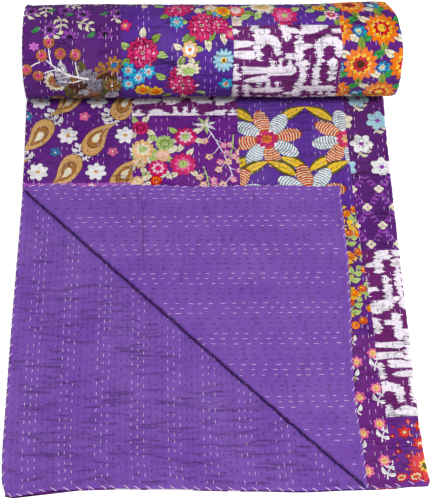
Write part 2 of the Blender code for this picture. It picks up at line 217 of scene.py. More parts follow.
def laid(u, v, out):
    """The place in space of points of the quilt, as an array of rows (x, y, z)."""
    u, v, out = np.broadcast_arrays(*(np.asarray(a, dtype=float) for a in (u, v, out)))
    winding = windings(v)
    bend = FOLD_RADIUS + (quarter_pitch(winding) - FOLD_RADIUS) * smooth((v - FOLD_OPENS) / FOLD_OPENING)
    past = u - HALF_WIDTH
    angle = np.clip(past / FOLD_REACH, -1, 1) * math.pi / 2
    x = FOLD_X + (bend + out) * np.cos(angle) - np.maximum(np.abs(past) - FOLD_REACH, 0)
    q = HALF + bend - (bend + out) * np.sin(angle)
    upper = (1 - np.sin(angle)) / 2
    y = v.copy()

    # The corner bends up and over its diagonal and lies face down
    turned = u + v < CORNER_LEG + FOLD_REACH * math.sqrt(2)
    past = (CORNER_LEG - u - v) / math.sqrt(2)
    swing = np.clip(past / FOLD_RADIUS, -math.pi / 2, math.pi / 2)
    top = HALF * 3 + CORNER_LIFT + FOLD_RADIUS
    radius = FOLD_RADIUS - out
    shift = (past + FOLD_REACH - radius * np.cos(swing)) / math.sqrt(2)
    over = past > FOLD_REACH
    over_x, over_y = LEFT_EDGE_X + CORNER_LEG - v, CORNER_LEG - u
    hem_x = over_x + eased(CORNER_SIDE_HEM, over_y) * fade(v, HEM_REACH)
    hem_y = over_y + eased(CORNER_TOP_HEM, hem_x) * fade(u, HEM_REACH)
    corner_x = np.where(over, hem_x, LEFT_EDGE_X + u + shift)
    corner_y = np.where(over, hem_y, v + shift)
    x, y = np.where(turned, corner_x, x), np.where(turned, corner_y, y)
    q = np.where(turned, top + radius * np.sin(swing), q)

    # The edges wander, and the fold gapes at the front
    share = (x - LEFT_EDGE_X) / (FOLD_X - LEFT_EDGE_X)
    from_front = np.maximum(0.0, y)
    front = eased(UPPER_FRONT, x) * upper + eased(LOWER_FRONT, x) * (1 - upper)
    gape = eased(FOLD_GAPE, from_front) * fade(FOLD_X - x, GAPE_REACH) * upper
    flat_side = eased(LEFT_EDGE, from_front) * (1 - share) + eased(FOLD_EDGE, from_front) * share
    blunt = BLUNT_CORNER * fade(np.hypot(QUILT_WIDTH - u, v), CORNER_REACH)
    x, y = x + blunt, y + blunt
    left = end_x(ROLL_LEFT_END, winding, 1) - LEFT_EDGE_X
    right = end_x(ROLL_RIGHT_END, winding, -1) - (FOLD_X + bend + HALF)
    rolled_side = left * (1 - share) + right * share
    x = x + flat_side + (rolled_side - flat_side) * smooth((v - SIDES_TURN) / SIDES_TURNING)
    flat_y, flat_z = y + front * fade(from_front, FRONT_REACH), q + gape
    flat_z = flat_z + swells(x, flat_y) * upper * smooth((SWELLS_END - v) / SWELLS_FADE)

    # The far end is wound up
    around = 2 * math.pi * winding
    off_ground = 1 - fade(winding, OFF_GROUND) - fade(np.abs(1 - winding), OFF_GROUND) * (winding < 1)
    uneven = np.sin(9 * x + 2 * around) + 0.6 * np.sin(23 * x - 3 * around + 1)
    radius = roll_radius(winding) - q + LUMP * uneven * off_ground
    rolled_y = ROLL_START_Y + radius * np.sin(around)
    rolled_z = ROLL_RADIUS - ROLL_SETTLE - radius * np.cos(around)
    rolled_z = np.where(winding < 0.25, np.maximum(rolled_z, q), rolled_z)
    wound = v > ROLL_START_Y
    y, z = np.where(wound, rolled_y, flat_y), np.maximum(np.where(wound, rolled_z, flat_z), 0.0)
    return np.stack((x - MIDDLE[0], y - MIDDLE[1], z), axis=-1)


def uneven_field(u, v, across, along, seed):
    """Soft random values from -1 to 1, that change over these distances across and along the quilt."""
    sizes = int(FIELD_SIZE[0] / across) + 3, int(FIELD_SIZE[1] / along) + 3
    knots = np.random.default_rng(seed).uniform(-1, 1, sizes)
    a, b = (np.asarray(u) + FIELD_MARGIN) / across, (np.asarray(v) + FIELD_MARGIN) / along
    i, j = np.floor(a).astype(int), np.floor(b).astype(int)
    i, j = np.clip(i, 0, sizes[0] - 2), np.clip(j, 0, sizes[1] - 2)
    s, t = smooth(a - i), smooth(b - j)
    near = knots[i, j] * (1 - s) + knots[i + 1, j] * s
    far = knots[i, j + 1] * (1 - s) + knots[i + 1, j + 1] * s
    return near * (1 - t) + far * t


def swells(x, y):
    """How the upper layer lies a little up and down over the lower one."""
    return SWELL * (1 + uneven_field(x + 0.6, y, 0.09, 0.12, 5))


# ---- Relief of the quilting ----------------------------------------------------------------------------

def row_wander(u, v):
    """How far a stitch row strays sideways."""
    return (LONG_WANDER * uneven_field(u, v, 0.05, 0.16, 11)
            + SHORT_WANDER * uneven_field(u, v, 0.013, 0.05, 12))


def hem_distance(u, v):
    return np.minimum(np.minimum(u, QUILT_WIDTH - u), np.minimum(v, QUILT_LENGTH - v))


def sunk(u, v, side):
    """How far the stitches draw the cloth in at this place. side is 1 on the print and -1 on the backing."""
    phase = (u + row_wander(u, v)) / STITCH_ROW
    furrow = (0.5 + 0.5 * np.cos(2 * math.pi * phase)) ** 1.6
    pull = 0.85 + 0.4 * uneven_field(u, v, 0.011, 0.014, 21 + side)
    puckers = PUCKER_DEPTH * uneven_field(u, v, 0.0075, 0.0085, 31 + side)
    inside = smooth((hem_distance(u, v) - HEM_SWELL_END) / HEM_WIDTH)
    return (FURROW_DEPTH * furrow * pull + puckers + DRAWN_IN + ripples(u, v, side)) * inside


def ripples(u, v, side):
    """Small sharp creases across the rows, from stitch to stitch."""
    long_ones = uneven_field(u, v, 0.036, 0.0105, 41 + side)
    short_ones = uneven_field(u, v, 0.017, 0.0085, 43 + side)
    return LONG_RIPPLE * (1 - np.abs(long_ones)) ** 3 + SHORT_RIPPLE * (1 - np.abs(short_ones)) ** 3


def seam_dip(u, v, seams):
    """How far the seams, each as its column or its place along the quilt, draw the print in."""
    depth = np.zeros_like(u)
    for at_u, at_v in seams:
        distance = np.abs(u - eased(COLUMN_SEAMS[at_u], v)) if at_v is None else np.abs(v - at_v)
        depth = np.maximum(depth, SEAM_DEPTH * np.exp(-(distance / SEAM_SPREAD) ** 2))
    return depth


def small_creases(seed, count, box, inside, depth, longest=0.052):
    """Loose creases across the stitch rows, each as its depth and the places along it in metres."""
    random = np.random.default_rng(seed)
    u0, v0, u1, v1 = box
    found = []
    while len(found) < count:
        u, v, length = random.uniform(u0, u1), random.uniform(v0, v1), random.uniform(CREASE_REACH, longest)
        share = np.arange(0, length, CREASE_PIECE)
        stray = np.cumsum(random.uniform(-CREASE_STRAY, CREASE_STRAY, len(share)))
        path = np.stack((u + share, v + stray), axis=1)
        if inside(*path[0]) and inside(*path[-1]):
            found.append((depth * random.uniform(0.35, 1.1) ** 1.5, path))
    return found


def on_turned_corner(u, v):
    return u > 0.01 and v > 0.01 and u + v < CORNER_LEG - 0.02


def on_lower_corner(u, v):
    return on_turned_corner(QUILT_WIDTH - u, v)


PLAIN_CREASES = [(depth, np.array(points) / 1000) for depth, points in CREASES]
PLAIN_CREASES += small_creases(1, 250, (0.87, 0.0, QUILT_WIDTH, 0.65), on_lower_corner, 0.0012, 0.08)
PLAIN_CREASES += small_creases(2, 90, (0.0, 0.0, 0.65, 0.65), on_turned_corner, 0.0005)
PRINT_CREASES = small_creases(3, 190, (0.77, 0.99, 1.5, 1.42), lambda u, v: u < 1.5, 0.0014, 0.09)
PRINT_CREASES += small_creases(4, 80, (0.01, 0.66, 0.74, 0.9), lambda u, v: u < 0.74, 0.0010)
PRINT_CREASES += small_creases(5, 40, (0.66, 0.02, 0.75, 0.66), lambda u, v: u < 0.75, 0.0007)


def crease_points(creases):
    """Extra points on both sides of each crease, so that it stays sharp."""
    rows = []
    for _, path in creases:
        run = np.concatenate(([0.0], np.cumsum(np.hypot(*np.diff(path, axis=0).T))))
        places = steps(0.0, run[-1], CREASE_STEP)
        path = np.stack([np.interp(places, run, part) for part in path.T], axis=1)
        along = np.gradient(path, axis=0)
        beside = np.stack((-along[:, 1], along[:, 0]), 1) / np.linalg.norm(along, axis=1)[:, None]
        rows += [path + beside * offset for offset in (-SHADE_SPREAD, 0.0, SHADE_SPREAD, CREASE_BANK)]
    return np.concatenate(rows) if rows else np.zeros((0, 2))


def creased(creases, u, v):
    """How far creases push the cloth in and out, and the painted shade down in them, from 0 to 1."""
    shift, shade = np.zeros(len(u)), np.zeros(len(u))
    for depth, path in creases:
        (u0, v0), (u1, v1) = path.min(axis=0) - CREASE_REACH, path.max(axis=0) + CREASE_REACH
        near = np.flatnonzero((u > u0) & (u < u1) & (v > v0) & (v < v1))
        place = np.stack((u[near], v[near]), axis=1)
        best, signed, progress = np.full(len(near), 1.0), np.zeros(len(near)), np.zeros(len(near))
        for k, (start, end) in enumerate(zip(path, path[1:])):
            along = end - start
            share = np.clip((place - start) @ along / (along @ along), 0, 1)
            off = place - start - share[:, None] * along
            distance = np.hypot(*off.T)
            nearer = distance < best
            best = np.where(nearer, distance, best)
            signed = np.where(nearer, np.sign(along[0] * off[:, 1] - along[1] * off[:, 0]) * distance, signed)
            progress = np.where(nearer, (k + share) / (len(path) - 1), progress)
        taper = np.sin(math.pi * np.clip(progress, 0.02, 0.98)) ** 0.6
        bank = np.exp(-((signed - CREASE_BANK) / BANK_SPREAD) ** 2)
        fold = 0.6 * bank - np.exp(-(signed / VALLEY_SPREAD) ** 2)
        shift[near] += depth * fold * taper
        # painted shade down in the crease, darkest along its deepest line
        dark = min(1.0, depth / FULL_SHADE_DEPTH) * taper * np.exp(-(signed / SHADE_SPREAD) ** 2)
        shade[near] = np.maximum(shade[near], dark)
    return np.clip(shift, *CREASE_LIMITS), shade


def surface_out(u, v, side, dip, shift):
    """Distance of a face of the quilt from the middle of its two cloths, rounded off at the hems."""
    edge = hem_distance(u, v)
    scallops = 0.5 + 0.5 * np.cos(2 * math.pi * (u + v) / WHIP_PITCH)
    hem_swell = (HEM_SWELL * smooth(edge / HEM_ROUND) * fade(edge - HEM_SWELL_END, HEM_SWELL_FADE)
                 * (0.5 + scallops))
    height = HALF - sunk(u, v, side) - dip + hem_swell + shift
    if side > 0:  # only the outside of the roll billows
        on_roll = smooth((v - 0.93) / 0.05) * smooth((1.5 - v) / 0.06) * smooth((u - 0.74) / 0.04)
        height = height + BILLOW * uneven_field(u, v, 0.11, 0.024, 51) * on_roll
    height = np.maximum(height, THINNEST)
    inset = np.clip(1 - edge / HEM_ROUND, 0, 1)
    return side * height * np.sqrt(np.maximum(0.0, 1 - inset ** 2))


# ---- Meshes --------------------------------------------------------------------------------------------

def add_object(name, data):
    made = bpy.data.objects.new(name, data)
    bpy.context.scene.collection.objects.link(made)
    return made


def add_mesh(name, places, faces, material):
    """An object from arrays of points and of triangles or quads."""
    faces = np.asarray(faces, dtype=np.int32)
    corners = faces.shape[1]
    mesh = bpy.data.meshes.new(name)
    mesh.vertices.add(len(places))
    mesh.vertices.foreach_set("co", np.asarray(places, dtype=np.float32).ravel())
    mesh.loops.add(faces.size)
    mesh.loops.foreach_set("vertex_index", faces.ravel())
    mesh.polygons.add(len(faces))
    mesh.polygons.foreach_set("loop_start", np.arange(0, faces.size, corners, dtype=np.int32))
    mesh.update(calc_edges=True)
    mesh.shade_smooth()
    mesh.materials.append(material)
    made = add_object(name, mesh)
    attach(made, "root")
    return made


def add_map(made, name, corner_values):
    made.data.uv_layers.new(name=name)
    made.data.uv_layers[name].data.foreach_set("uv", np.asarray(corner_values, dtype=np.float32).ravel())


def add_values(made, name, kind, domain, values):
    data = made.data.attributes.new(name, kind, domain).data
    data.foreach_set("value" if kind == "FLOAT" else "vector", np.asarray(values, dtype=np.float32).ravel())


def steps(start, end, step):
    return np.linspace(start, end, max(2, int(round((end - start) / step)) + 1))


HEM_MARKS = np.array((0.0, 0.0003, 0.0009, 0.0018, 0.003, 0.0045, 0.0065))


def triangulated(points, edges, keep):
    """Triangles between scattered points of the flat cloth, held to the edges, where keep(u, v) is true."""
    vectors = [Vector(p) for p in points.tolist()]
    places, _, faces, _, _, _ = delaunay_2d_cdt(vectors, edges, [], 0, 2e-5)
    places = np.array([(p.x, p.y) for p in places])
    faces = np.array(faces)
    middles = places[faces].mean(axis=1)
    faces = faces[keep(middles[:, 0], middles[:, 1])]
    used, faces = np.unique(faces, return_inverse=True)
    return places[used], faces.reshape(-1, 3)


def backing_cloth():
    """The plain cloth: fine where it shows, on the turned corner and the lower layer beside it."""
    fine = []
    u, v = np.meshgrid(steps(0.0, BACKING_FINE[0], STITCH_ROW / 4), steps(0.0, BACKING_FINE[1], BACKING_STEP))
    shows = u + v < CORNER_LEG + SKIRT
    fine.append(np.stack((u[shows], v[shows]), axis=1))
    fine.append(np.stack((QUILT_WIDTH - u[shows], v[shows]), axis=1))
    for offset in np.linspace(-1, 1, 9):
        leg = CORNER_LEG + offset * FOLD_REACH * math.sqrt(2)
        share = np.linspace(0, 1, 190)
        fine.append(np.stack((leg * share, leg * (1 - share)), axis=1))
    u, v = np.meshgrid(steps(0.0, QUILT_WIDTH, STITCH_ROW * 2), steps(0.0, QUILT_LENGTH, COARSE_STEP))
    hidden = (u + v > CORNER_LEG + SKIRT) & (QUILT_WIDTH - u + v > CORNER_LEG + SKIRT)
    fine.append(np.stack((u[hidden], v[hidden]), axis=1))
    for bend_u in HALF_WIDTH + FOLD_REACH * np.linspace(-1, 1, 7):
        along = steps(0.0, QUILT_LENGTH, COARSE_STEP)
        fine.append(np.stack((np.full_like(along, bend_u), along), axis=1))
    points = np.concatenate(fine + [crease_points(PLAIN_CREASES)])
    points = points[hem_distance(points[:, 0], points[:, 1]) > HEM_CLEAR]
    points, edges = hem_rings(points)
    points, faces = triangulated(points, edges, lambda u, v: hem_distance(u, v) > -1e-6)
    u, v = points.T
    shift, shade = creased(PLAIN_CREASES, u, v)
    places = laid(u, v, surface_out(u, v, -1, 0.0, shift))
    faces = faces[:, ::-1]
    made = add_mesh("backing_cloth", places, faces, VIOLET_CLOTH)
    # painted shade down in the creases, which darkens the cloth's colour in the shader
    add_values(made, "shade", "FLOAT", "POINT", shade)
    add_cloth_maps(made, points, faces, (0.0, 0.0), (QUILT_WIDTH, QUILT_LENGTH))
    return made


def hem_rings(points):
    """Adds rings of points along the quilt's hems, and the outermost ring's edges."""
    rings = []
    for inset in HEM_MARKS:
        u0, u1, v0, v1 = inset, QUILT_WIDTH - inset, inset, QUILT_LENGTH - inset
        across, along = steps(u0, u1, HEM_STEPS[0]), steps(v0, v1, HEM_STEPS[1])
        ring = [np.stack((across[:-1], np.full(len(across) - 1, v0)), 1),
                np.stack((np.full(len(along) - 1, u1), along[:-1]), 1),
                np.stack((across[:0:-1], np.full(len(across) - 1, v1)), 1),
                np.stack((np.full(len(along) - 1, u0), along[:0:-1]), 1)]
        rings.append(np.concatenate(ring))
    outer = len(rings[0])
    edges = [(i, (i + 1) % outer) for i in range(outer)]
    return np.concatenate(rings + [points]), edges


def add_cloth_maps(made, points, faces, low, size):
    """One map in metres of flat cloth for the patterns, and one that fills the square."""
    corner_places = points[faces.ravel()]
    add_map(made, "cloth", corner_places)
    share = (corner_places - np.array(low)) / np.array(size)
    add_map(made, "OFBake", 0.02 + 0.96 * share)


class Patch:
    """One printed patch: the column that it lies in, and its ends along the quilt."""

    def __init__(self, column, start, end, design, detail):
        self.column, self.start, self.end, self.design, self.detail = column, start, end, design, detail
        self.name = "patch_%d_%04d_%s" % (column + 1, round(start * 1000), design)

    def sides(self, v):
        return eased(COLUMN_SEAMS[self.column], v), eased(COLUMN_SEAMS[self.column + 1], v)

    def holds(self, u, v, margin=0.0):
        left, right = self.sides(v)
        lip = HEM_LIP * 1.1 if self.start == 0.0 and margin == 0.0 else 0.0
        across = (u > left + margin) & (u < right - margin)
        return across & (v > self.start + margin - lip) & (v < self.end - margin)

    def creases(self):
        if not self.detail:
            return []
        return [(depth, path) for depth, path in PRINT_CREASES if self.holds(*path.T).any()]

    def box(self):
        """Its ends in millimetres: u, v at the near left, then u, v at the far right."""
        left, right = self.sides(np.linspace(self.start, self.end, 9))
        return tuple(1000 * float(x) for x in (left.min(), self.start, right.max(), self.end))

    def seams(self):
        found = [(side, None) for side in (self.column, self.column + 1) if 0 < side < 7]
        return found + [(None, v) for v in (self.start, self.end) if 0 < v < QUILT_LENGTH]

    def points(self):
        """Points of the patch and the edges of its outline."""
        across_step = STITCH_ROW / (3 if self.detail else 2)
        along_step = PRINT_STEP if self.detail else COARSE_STEP
        if self.design == "ikat":
            across_step = STITCH_ROW / (4 if self.detail else 2)
            along_step = RESIST_STEP if self.detail else HIDDEN_RESIST_STEP
        v = steps(self.start, self.end, along_step)
        if self.start == 0.0:
            v = np.concatenate((HEM_MARKS, v[v > HEM_CLEAR]))
        if self.end == QUILT_LENGTH:
            v = np.concatenate((v[v < self.end - HEM_CLEAR], self.end - HEM_MARKS[::-1]))
        left, right = self.sides(v)
        count = int(round((right - left).mean() / across_step)) + 1
        share = np.linspace(0, 1, count)
        width = float(right.mean() - left.mean())
        if self.column == 0:
            share = np.concatenate((HEM_MARKS / width, share[share > HEM_CLEAR / width]))
        if self.column == 6:
            share = np.concatenate((share[share < 1 - HEM_CLEAR / width], 1 - HEM_MARKS[::-1] / width))
        if self.column == 3:
            bends = (HALF_WIDTH + FOLD_REACH * np.linspace(-1, 1, 9) - left.mean()) / width
            share = np.sort(np.concatenate((share[np.abs(share - bends[4]) > HEM_CLEAR / width], bends)))
        u = left[:, None] + (right - left)[:, None] * share[None, :]
        grid = np.stack((u, np.broadcast_to(v[:, None], u.shape)), axis=-1)
        if self.start == 0.0:
            grid[0, :, 1] -= HEM_LIP * smooth((u[0] - 0.78) / 0.05)
        ring = np.concatenate((grid[0, :-1], grid[:-1, -1], grid[-1, :0:-1], grid[:0:-1, 0]))
        index = np.arange(len(ring))
        keep = shows_on_print(grid[..., 0], grid[..., 1]) | (np.abs(grid[..., 0] - HALF_WIDTH) < BEND_REACH)
        keep |= hem_distance(grid[..., 0], grid[..., 1]) < HEM_CLEAR
        keep[::3, ::2] = True
        inner = grid[1:-1, 1:-1][keep[1:-1, 1:-1]] if self.detail else grid[1:-1, 1:-1].reshape(-1, 2)
        return np.concatenate((ring, inner)), list(zip(index.tolist(), np.roll(index, -1).tolist()))


def shows_on_print(u, v):
    """The upper layer past the turned corner, the lower layer's near hem, and the outside of the roll."""
    upper = (u < 0.78) & (v < 0.95) & ((u > CORNER_LEG - 0.012) | (v > CORNER_LEG - 0.012))
    front = (v < 0.03) & (u > CORNER_LEG)
    return upper | front | ((v > 0.935) & (v < 1.47) & (u > 0.745))


# Each column's patches: where they end along the quilt, and their designs. A star marks what shows.
COLUMNS = (
    ((0.0, 0.29, 0.661, 1.06, 1.45, 1.83, QUILT_LENGTH), "sprigs lilac paisleys* ikat bouquet sprigs"),
    ((0.0, 0.41, 0.832, 1.19, 1.6, 1.96, QUILT_LENGTH), "sunflowers bouquet* ikat* peonies sprigs branches"),
    ((0.0, 0.305, 0.60, 1.02, 1.38, 1.8, QUILT_LENGTH), "branches* berries* big_flowers* sprigs ikat lilac"),
    ((0.0, 0.135, 0.494, 0.674, 1.07, 1.56, 1.93, QUILT_LENGTH),
     "poppies* ikat* trellis* anemones* sunflowers* bouquet ikat"),
    ((0.0, 0.38, 0.8, 1.233, 1.59, 1.94, QUILT_LENGTH), "sprigs lilac blossoms* ikat* branches sunflowers"),
    ((0.0, 0.3, 0.68, 1.08, 1.56, 1.9, QUILT_LENGTH), "ikat branches sprigs peonies* lilac ikat"),
    ((0.0, 0.36, 0.84, 1.257, 1.62, 2.0, QUILT_LENGTH), "bouquet sunflowers stars* branches* ikat sprigs"),
)


# ---- Drawing the prints --------------------------------------------------------------------------------

def ink(red, green, blue):
    """A dye as it looks in plain light, turned into the colour that the shader takes."""
    share = np.array((red, green, blue)) / 255
    return np.where(share <= 0.04045, share / 12.92, ((share + 0.055) / 1.055) ** 2.4) * 0.86


WHITE, CREAM, PEACH = ink(242, 240, 242), ink(236, 228, 200), ink(240, 190, 130)
HOT_PINK, DEEP_PINK, PINK, ROSE = ink(214, 40, 112), ink(140, 14, 66), ink(232, 110, 160), ink(240, 200, 214)
CYAN, DEEP_CYAN, BLUE, SKY = ink(38, 172, 212), ink(18, 104, 160), ink(52, 118, 168), ink(168, 212, 228)
TEAL, YELLOW, ORANGE, RUST = ink(64, 140, 160), ink(246, 200, 60), ink(238, 124, 34), ink(212, 92, 36)
RED, GOLD, BROWN, TAN = ink(206, 40, 44), ink(214, 166, 104), ink(88, 50, 34), ink(172, 116, 58)
LEAF, LIME, GREEN, OLIVE = ink(134, 162, 66), ink(180, 206, 120), ink(62, 156, 78), ink(104, 98, 46)
GREY, LILAC, ORCHID, INK = ink(150, 146, 160), ink(150, 74, 176), ink(206, 110, 196), ink(40, 22, 52)
VIOLET_GROUND, PURPLE_GROUND = ink(92, 48, 152), ink(92, 36, 120)
MAGENTA_GROUND = ink(112, 38, 140)


def around(count):
    return np.arange(count) * 2 * math.pi / count


def way(degrees):
    """A step of 1 in this direction."""
    return np.array((math.cos(math.radians(degrees)), math.sin(math.radians(degrees))))


def turned(points, centre, degrees):
    angle = math.radians(degrees)
    spin = np.array(((math.cos(angle), math.sin(angle)), (-math.sin(angle), math.cos(angle))))
    return points @ spin + np.array(centre)


def oval(centre, half_width, half_height, degrees=0.0, count=18):
    angle = around(count)
    return turned(np.stack((half_width * np.cos(angle), half_height * np.sin(angle)), 1), centre, degrees)


def curve(points, steps_between):
    """A smooth line through these points."""
    points = np.asarray(points, dtype=float)
    ends = np.concatenate((2 * points[:1] - points[1:2], points, 2 * points[-1:] - points[-2:-1]))
    found = []
    for a, b, c, d in zip(ends, ends[1:], ends[2:], ends[3:]):
        for share in np.linspace(0, 1, steps_between, endpoint=False):
            found.append(0.5 * (2 * b + (c - a) * share + (2 * a - 5 * b + 4 * c - d) * share ** 2
                                + (3 * b - a - 3 * c + d) * share ** 3))
    return np.array(found + [points[-1]])


def holds(outline, places):
    """Which places lie inside the closed outline."""
    low, high = outline.min(axis=0), outline.max(axis=0)
    near = np.flatnonzero(((places >= low) & (places <= high)).all(axis=1))
    x, y = places[near, 0][:, None], places[near, 1][:, None]
    x0, y0 = outline.T
    x1, y1 = np.roll(outline, -1, axis=0).T
    span = np.where(y1 == y0, 1.0, y1 - y0)
    crossed = ((y0 > y) != (y1 > y)) & (x < x0 + (y - y0) * (x1 - x0) / span)
    inside = np.zeros(len(places), dtype=bool)
    inside[near] = crossed.sum(axis=1) % 2 == 1
    return inside


class Print:
    """A patch's print: flat shapes in millimetres of cloth, the later ones over the earlier."""

    def __init__(self, ground, seed):
        self.ground, self.shapes, self.random = ground, [], np.random.default_rng(seed)

    def fill(self, outline, dye):
        self.shapes.append((np.asarray(outline, dtype=float), dye))

    def dots(self, places, size, dye):
        for place in places:
            self.fill(oval(place, size, size * 0.85, 0, 8), dye)

    def line(self, points, width, dye, taper=0.5, finer=3):
        path = curve(points, finer)
        along = np.gradient(path, axis=0)
        along /= np.linalg.norm(along, axis=1)[:, None] + 1e-9
        beside = np.stack((-along[:, 1], along[:, 0]), 1)
        half = width / 2 * np.linspace(1, taper, len(path))[:, None]
        self.fill(np.concatenate((path + beside * half, (path - beside * half)[::-1])), dye)

    def leaf(self, base, tip, width, dye, vein=None, bend=0.0, rim=None):
        base, tip = np.array(base, dtype=float), np.array(tip, dtype=float)
        along = tip - base
        length = np.linalg.norm(along)
        along /= length
        beside = np.array((-along[1], along[0]))
        share = np.linspace(0, 1, 9)
        spine = base + np.outer(share * length, along) + np.outer(np.sin(math.pi * share) * bend, beside)
        half = width / 2 * np.sin(math.pi * share ** 0.85) ** 0.9
        for grow, colour in ((1.0, rim), (0.0, dye)):
            if colour is not None:
                grown = (half + grow * np.sin(math.pi * share))[:, None]
                self.fill(np.concatenate((spine + beside * grown, (spine - beside * grown)[-2:0:-1])), colour)
        if vein is not None:
            self.line(spine[1:-1:3], max(0.8, width * 0.07), vein, 0.5, 2)

    def petals(self, centre, size, count, dye, notch, degrees=0.0, flat=1.0, rim=None):
        angle = around(count * 6)
        lobes = 1 - notch * np.abs(np.cos(count * angle / 2)) ** 3
        for grow, colour in ((1.0, rim), (0.0, dye)):
            if colour is not None:
                radius = size * lobes + grow
                ring = np.stack((radius * np.cos(angle), flat * radius * np.sin(angle)), 1)
                self.fill(turned(ring, centre, degrees), colour)

    def flower(self, centre, size, count, dye, heart, notch=0.35, degrees=0.0, inner=None, rim=None):
        self.petals(centre, size, count, dye, notch, degrees, 1.0, rim)
        if inner is not None:
            self.petals(centre, size * 0.62, count, inner, notch, degrees + 180 / count)
        self.fill(oval(centre, size * 0.22, size * 0.2, 0, 10), heart)

    def daisy(self, centre, size, count, dye, heart, rim, slim=0.16):
        for colour, grow in ((rim, 1.2), (dye, 0.0)):
            for k in range(count):
                degrees = 360 * (k + 0.3) / count
                middle = turned(np.array(((0.6 * size, 0.0),)), centre, degrees)[0]
                self.fill(oval(middle, 0.42 * size + grow, slim * size + grow, degrees, 10), colour)
        self.fill(oval(centre, 0.27 * size, 0.25 * size, 0, 12), heart)
        self.fill(oval(centre, 0.12 * size, 0.11 * size, 0, 8), INK)

    def peony(self, centre, width, height, degrees):
        """A full blown flower: ruffled petals over each other, with pale flecks and dark folds."""
        centre = np.array(centre, dtype=float)
        flat = height / width
        self.petals(centre, width + 1.2, 13, INK, 0.14, degrees, flat)
        self.petals(centre, width, 13, HOT_PINK, 0.16, degrees, flat)
        for k in range(13):
            angle = 360 * (k + 0.5) / 13
            ends = turned(np.array(((0.86, 0.03), (0.5, -0.06))) * width, (0, 0), angle) * (1, flat)
            self.leaf(centre + ends[0], centre + ends[1], width * 0.1, DEEP_PINK)
        for across, down, size, dye, notch, spin in ((0.05, 0.08, 0.66, DEEP_PINK, 0.2, 9),
                                                     (0.03, 0.04, 0.6, HOT_PINK, 0.22, 12)):
            middle = centre + (width * across, -height * down)
            self.petals(middle, width * size, 9, dye, notch, degrees + spin, flat)
        for k in range(11):
            angle, reach = 360 * k / 11 + 8 * (k % 3), 0.30 + 0.17 * (k % 3)
            ends = np.array(((reach + 0.14, 0.02), (reach - 0.07, -0.03))) * width
            ends = turned(ends, (0, 0), angle) * (1, flat)
            self.leaf(centre + ends[0], centre + ends[1], width * 0.13, ROSE if k % 2 else PINK, None, 1.0)
        self.petals(centre, width * 0.22, 6, DEEP_PINK, 0.3, degrees, flat)
        self.dots(centre + turned(oval((0, 0), width * 0.1, height * 0.1, 0, 5), (0, 0), 20), 1.3, CREAM)

    def bars(self, outline, points, width, dye):
        """A line that shows only inside the outline, as short runs."""
        path = curve(points, 4)
        middles = (path[1:] + path[:-1]) / 2
        inside = holds(np.asarray(outline, dtype=float), middles)
        run = []
        for k, shows in enumerate(np.append(inside, False)):
            if shows:
                run += [path[k], path[k + 1]] if not run else [path[k + 1]]
            elif len(run) > 1:
                self.line(run, width, dye, 1.0, 1)
                run = []

    def leaves_round(self, centre, reach, count, width, length, dyes=(LEAF, CREAM, LIME)):
        """Leaves that stick out from under a flower."""
        for k in range(count):
            degrees = 360 * (k + self.random.uniform(-0.3, 0.3)) / count + 40
            base, tip = (np.array(centre) + way(degrees) * far for far in (reach, reach + length))
            self.leaf(base, tip, width, dyes[k % len(dyes)], OLIVE if k % 2 else GREY, 2.0, INK)

    def stem(self, base, degrees, length, bow, share):
        """Places along a bowed stem."""
        share = np.atleast_1d(share)
        bowed = np.outer(np.sin(math.pi * share) * length * bow, way(degrees + 90))
        return np.array(base) + np.outer(share * length, way(degrees)) + bowed

    def spray(self, base, degrees, length, dye, vein, pairs, width):
        """A bowed stem with pairs of leaves and one at its end."""
        self.line(self.stem(base, degrees, length, 0.12, np.linspace(0, 1, 5)), 2.6, dye)
        for k in range(pairs):
            place = self.stem(base, degrees, length, 0.12, (k + 0.7) / (pairs + 0.6))[0]
            for side in (-1, 1):
                tip = place + way(degrees + side * (54 - 8 * k)) * length * (0.52 - 0.06 * k)
                self.leaf(place, tip, width, dye, vein, 3 * side, INK)
        end = self.stem(base, degrees, length, 0.12, 0.94)[0]
        self.leaf(end, end + way(degrees) * length * 0.3, width, dye, vein, 0.0, INK)

    def branch(self, base, degrees, length, dye, width, twigs, bow=0.14, spread=(0.16, 0.3)):
        """A bowed branch with twigs to both sides. Gives back the places of all the tips."""
        self.line(self.stem(base, degrees, length, bow, np.linspace(0, 1, 7)), width, dye)
        tips = [self.stem(base, degrees, length, bow, 1.0)[0]]
        for k in range(twigs):
            share = (k + 1.3) / (twigs + 1.0)
            place, side = self.stem(base, degrees, length, bow, share)[0], 1 if k % 2 else -1
            reach = length * self.random.uniform(*spread)
            tips.append(place + way(degrees + side * self.random.uniform(42, 68)) * reach)
            self.line((place, (place + tips[-1]) / 2 + way(degrees) * 2.5, tips[-1]), width * 0.65, dye)
        return tips

    def half_drop(self, across, along, shift):
        """Numbers and places of a repeat over these ranges, with every other row shifted sideways."""
        for j, v in enumerate(np.arange(*along)):
            for i, u in enumerate(np.arange(*across)):
                yield i, j, np.array((u + shift * (j % 2), v))

    def scatter(self, box, pitch):
        """Evenly loose places over the box (u0, v0, u1, v1)."""
        u0, v0, u1, v1 = box
        for j, v in enumerate(np.arange(v0 + pitch / 2, v1, pitch)):
            for u in np.arange(u0 + (0.3 + 0.5 * (j % 2)) * pitch, u1, pitch):
                yield u + self.random.uniform(-0.2, 0.2) * pitch, v + self.random.uniform(-0.2, 0.2) * pitch


# ---- The designs ---------------------------------------------------------------------------------------

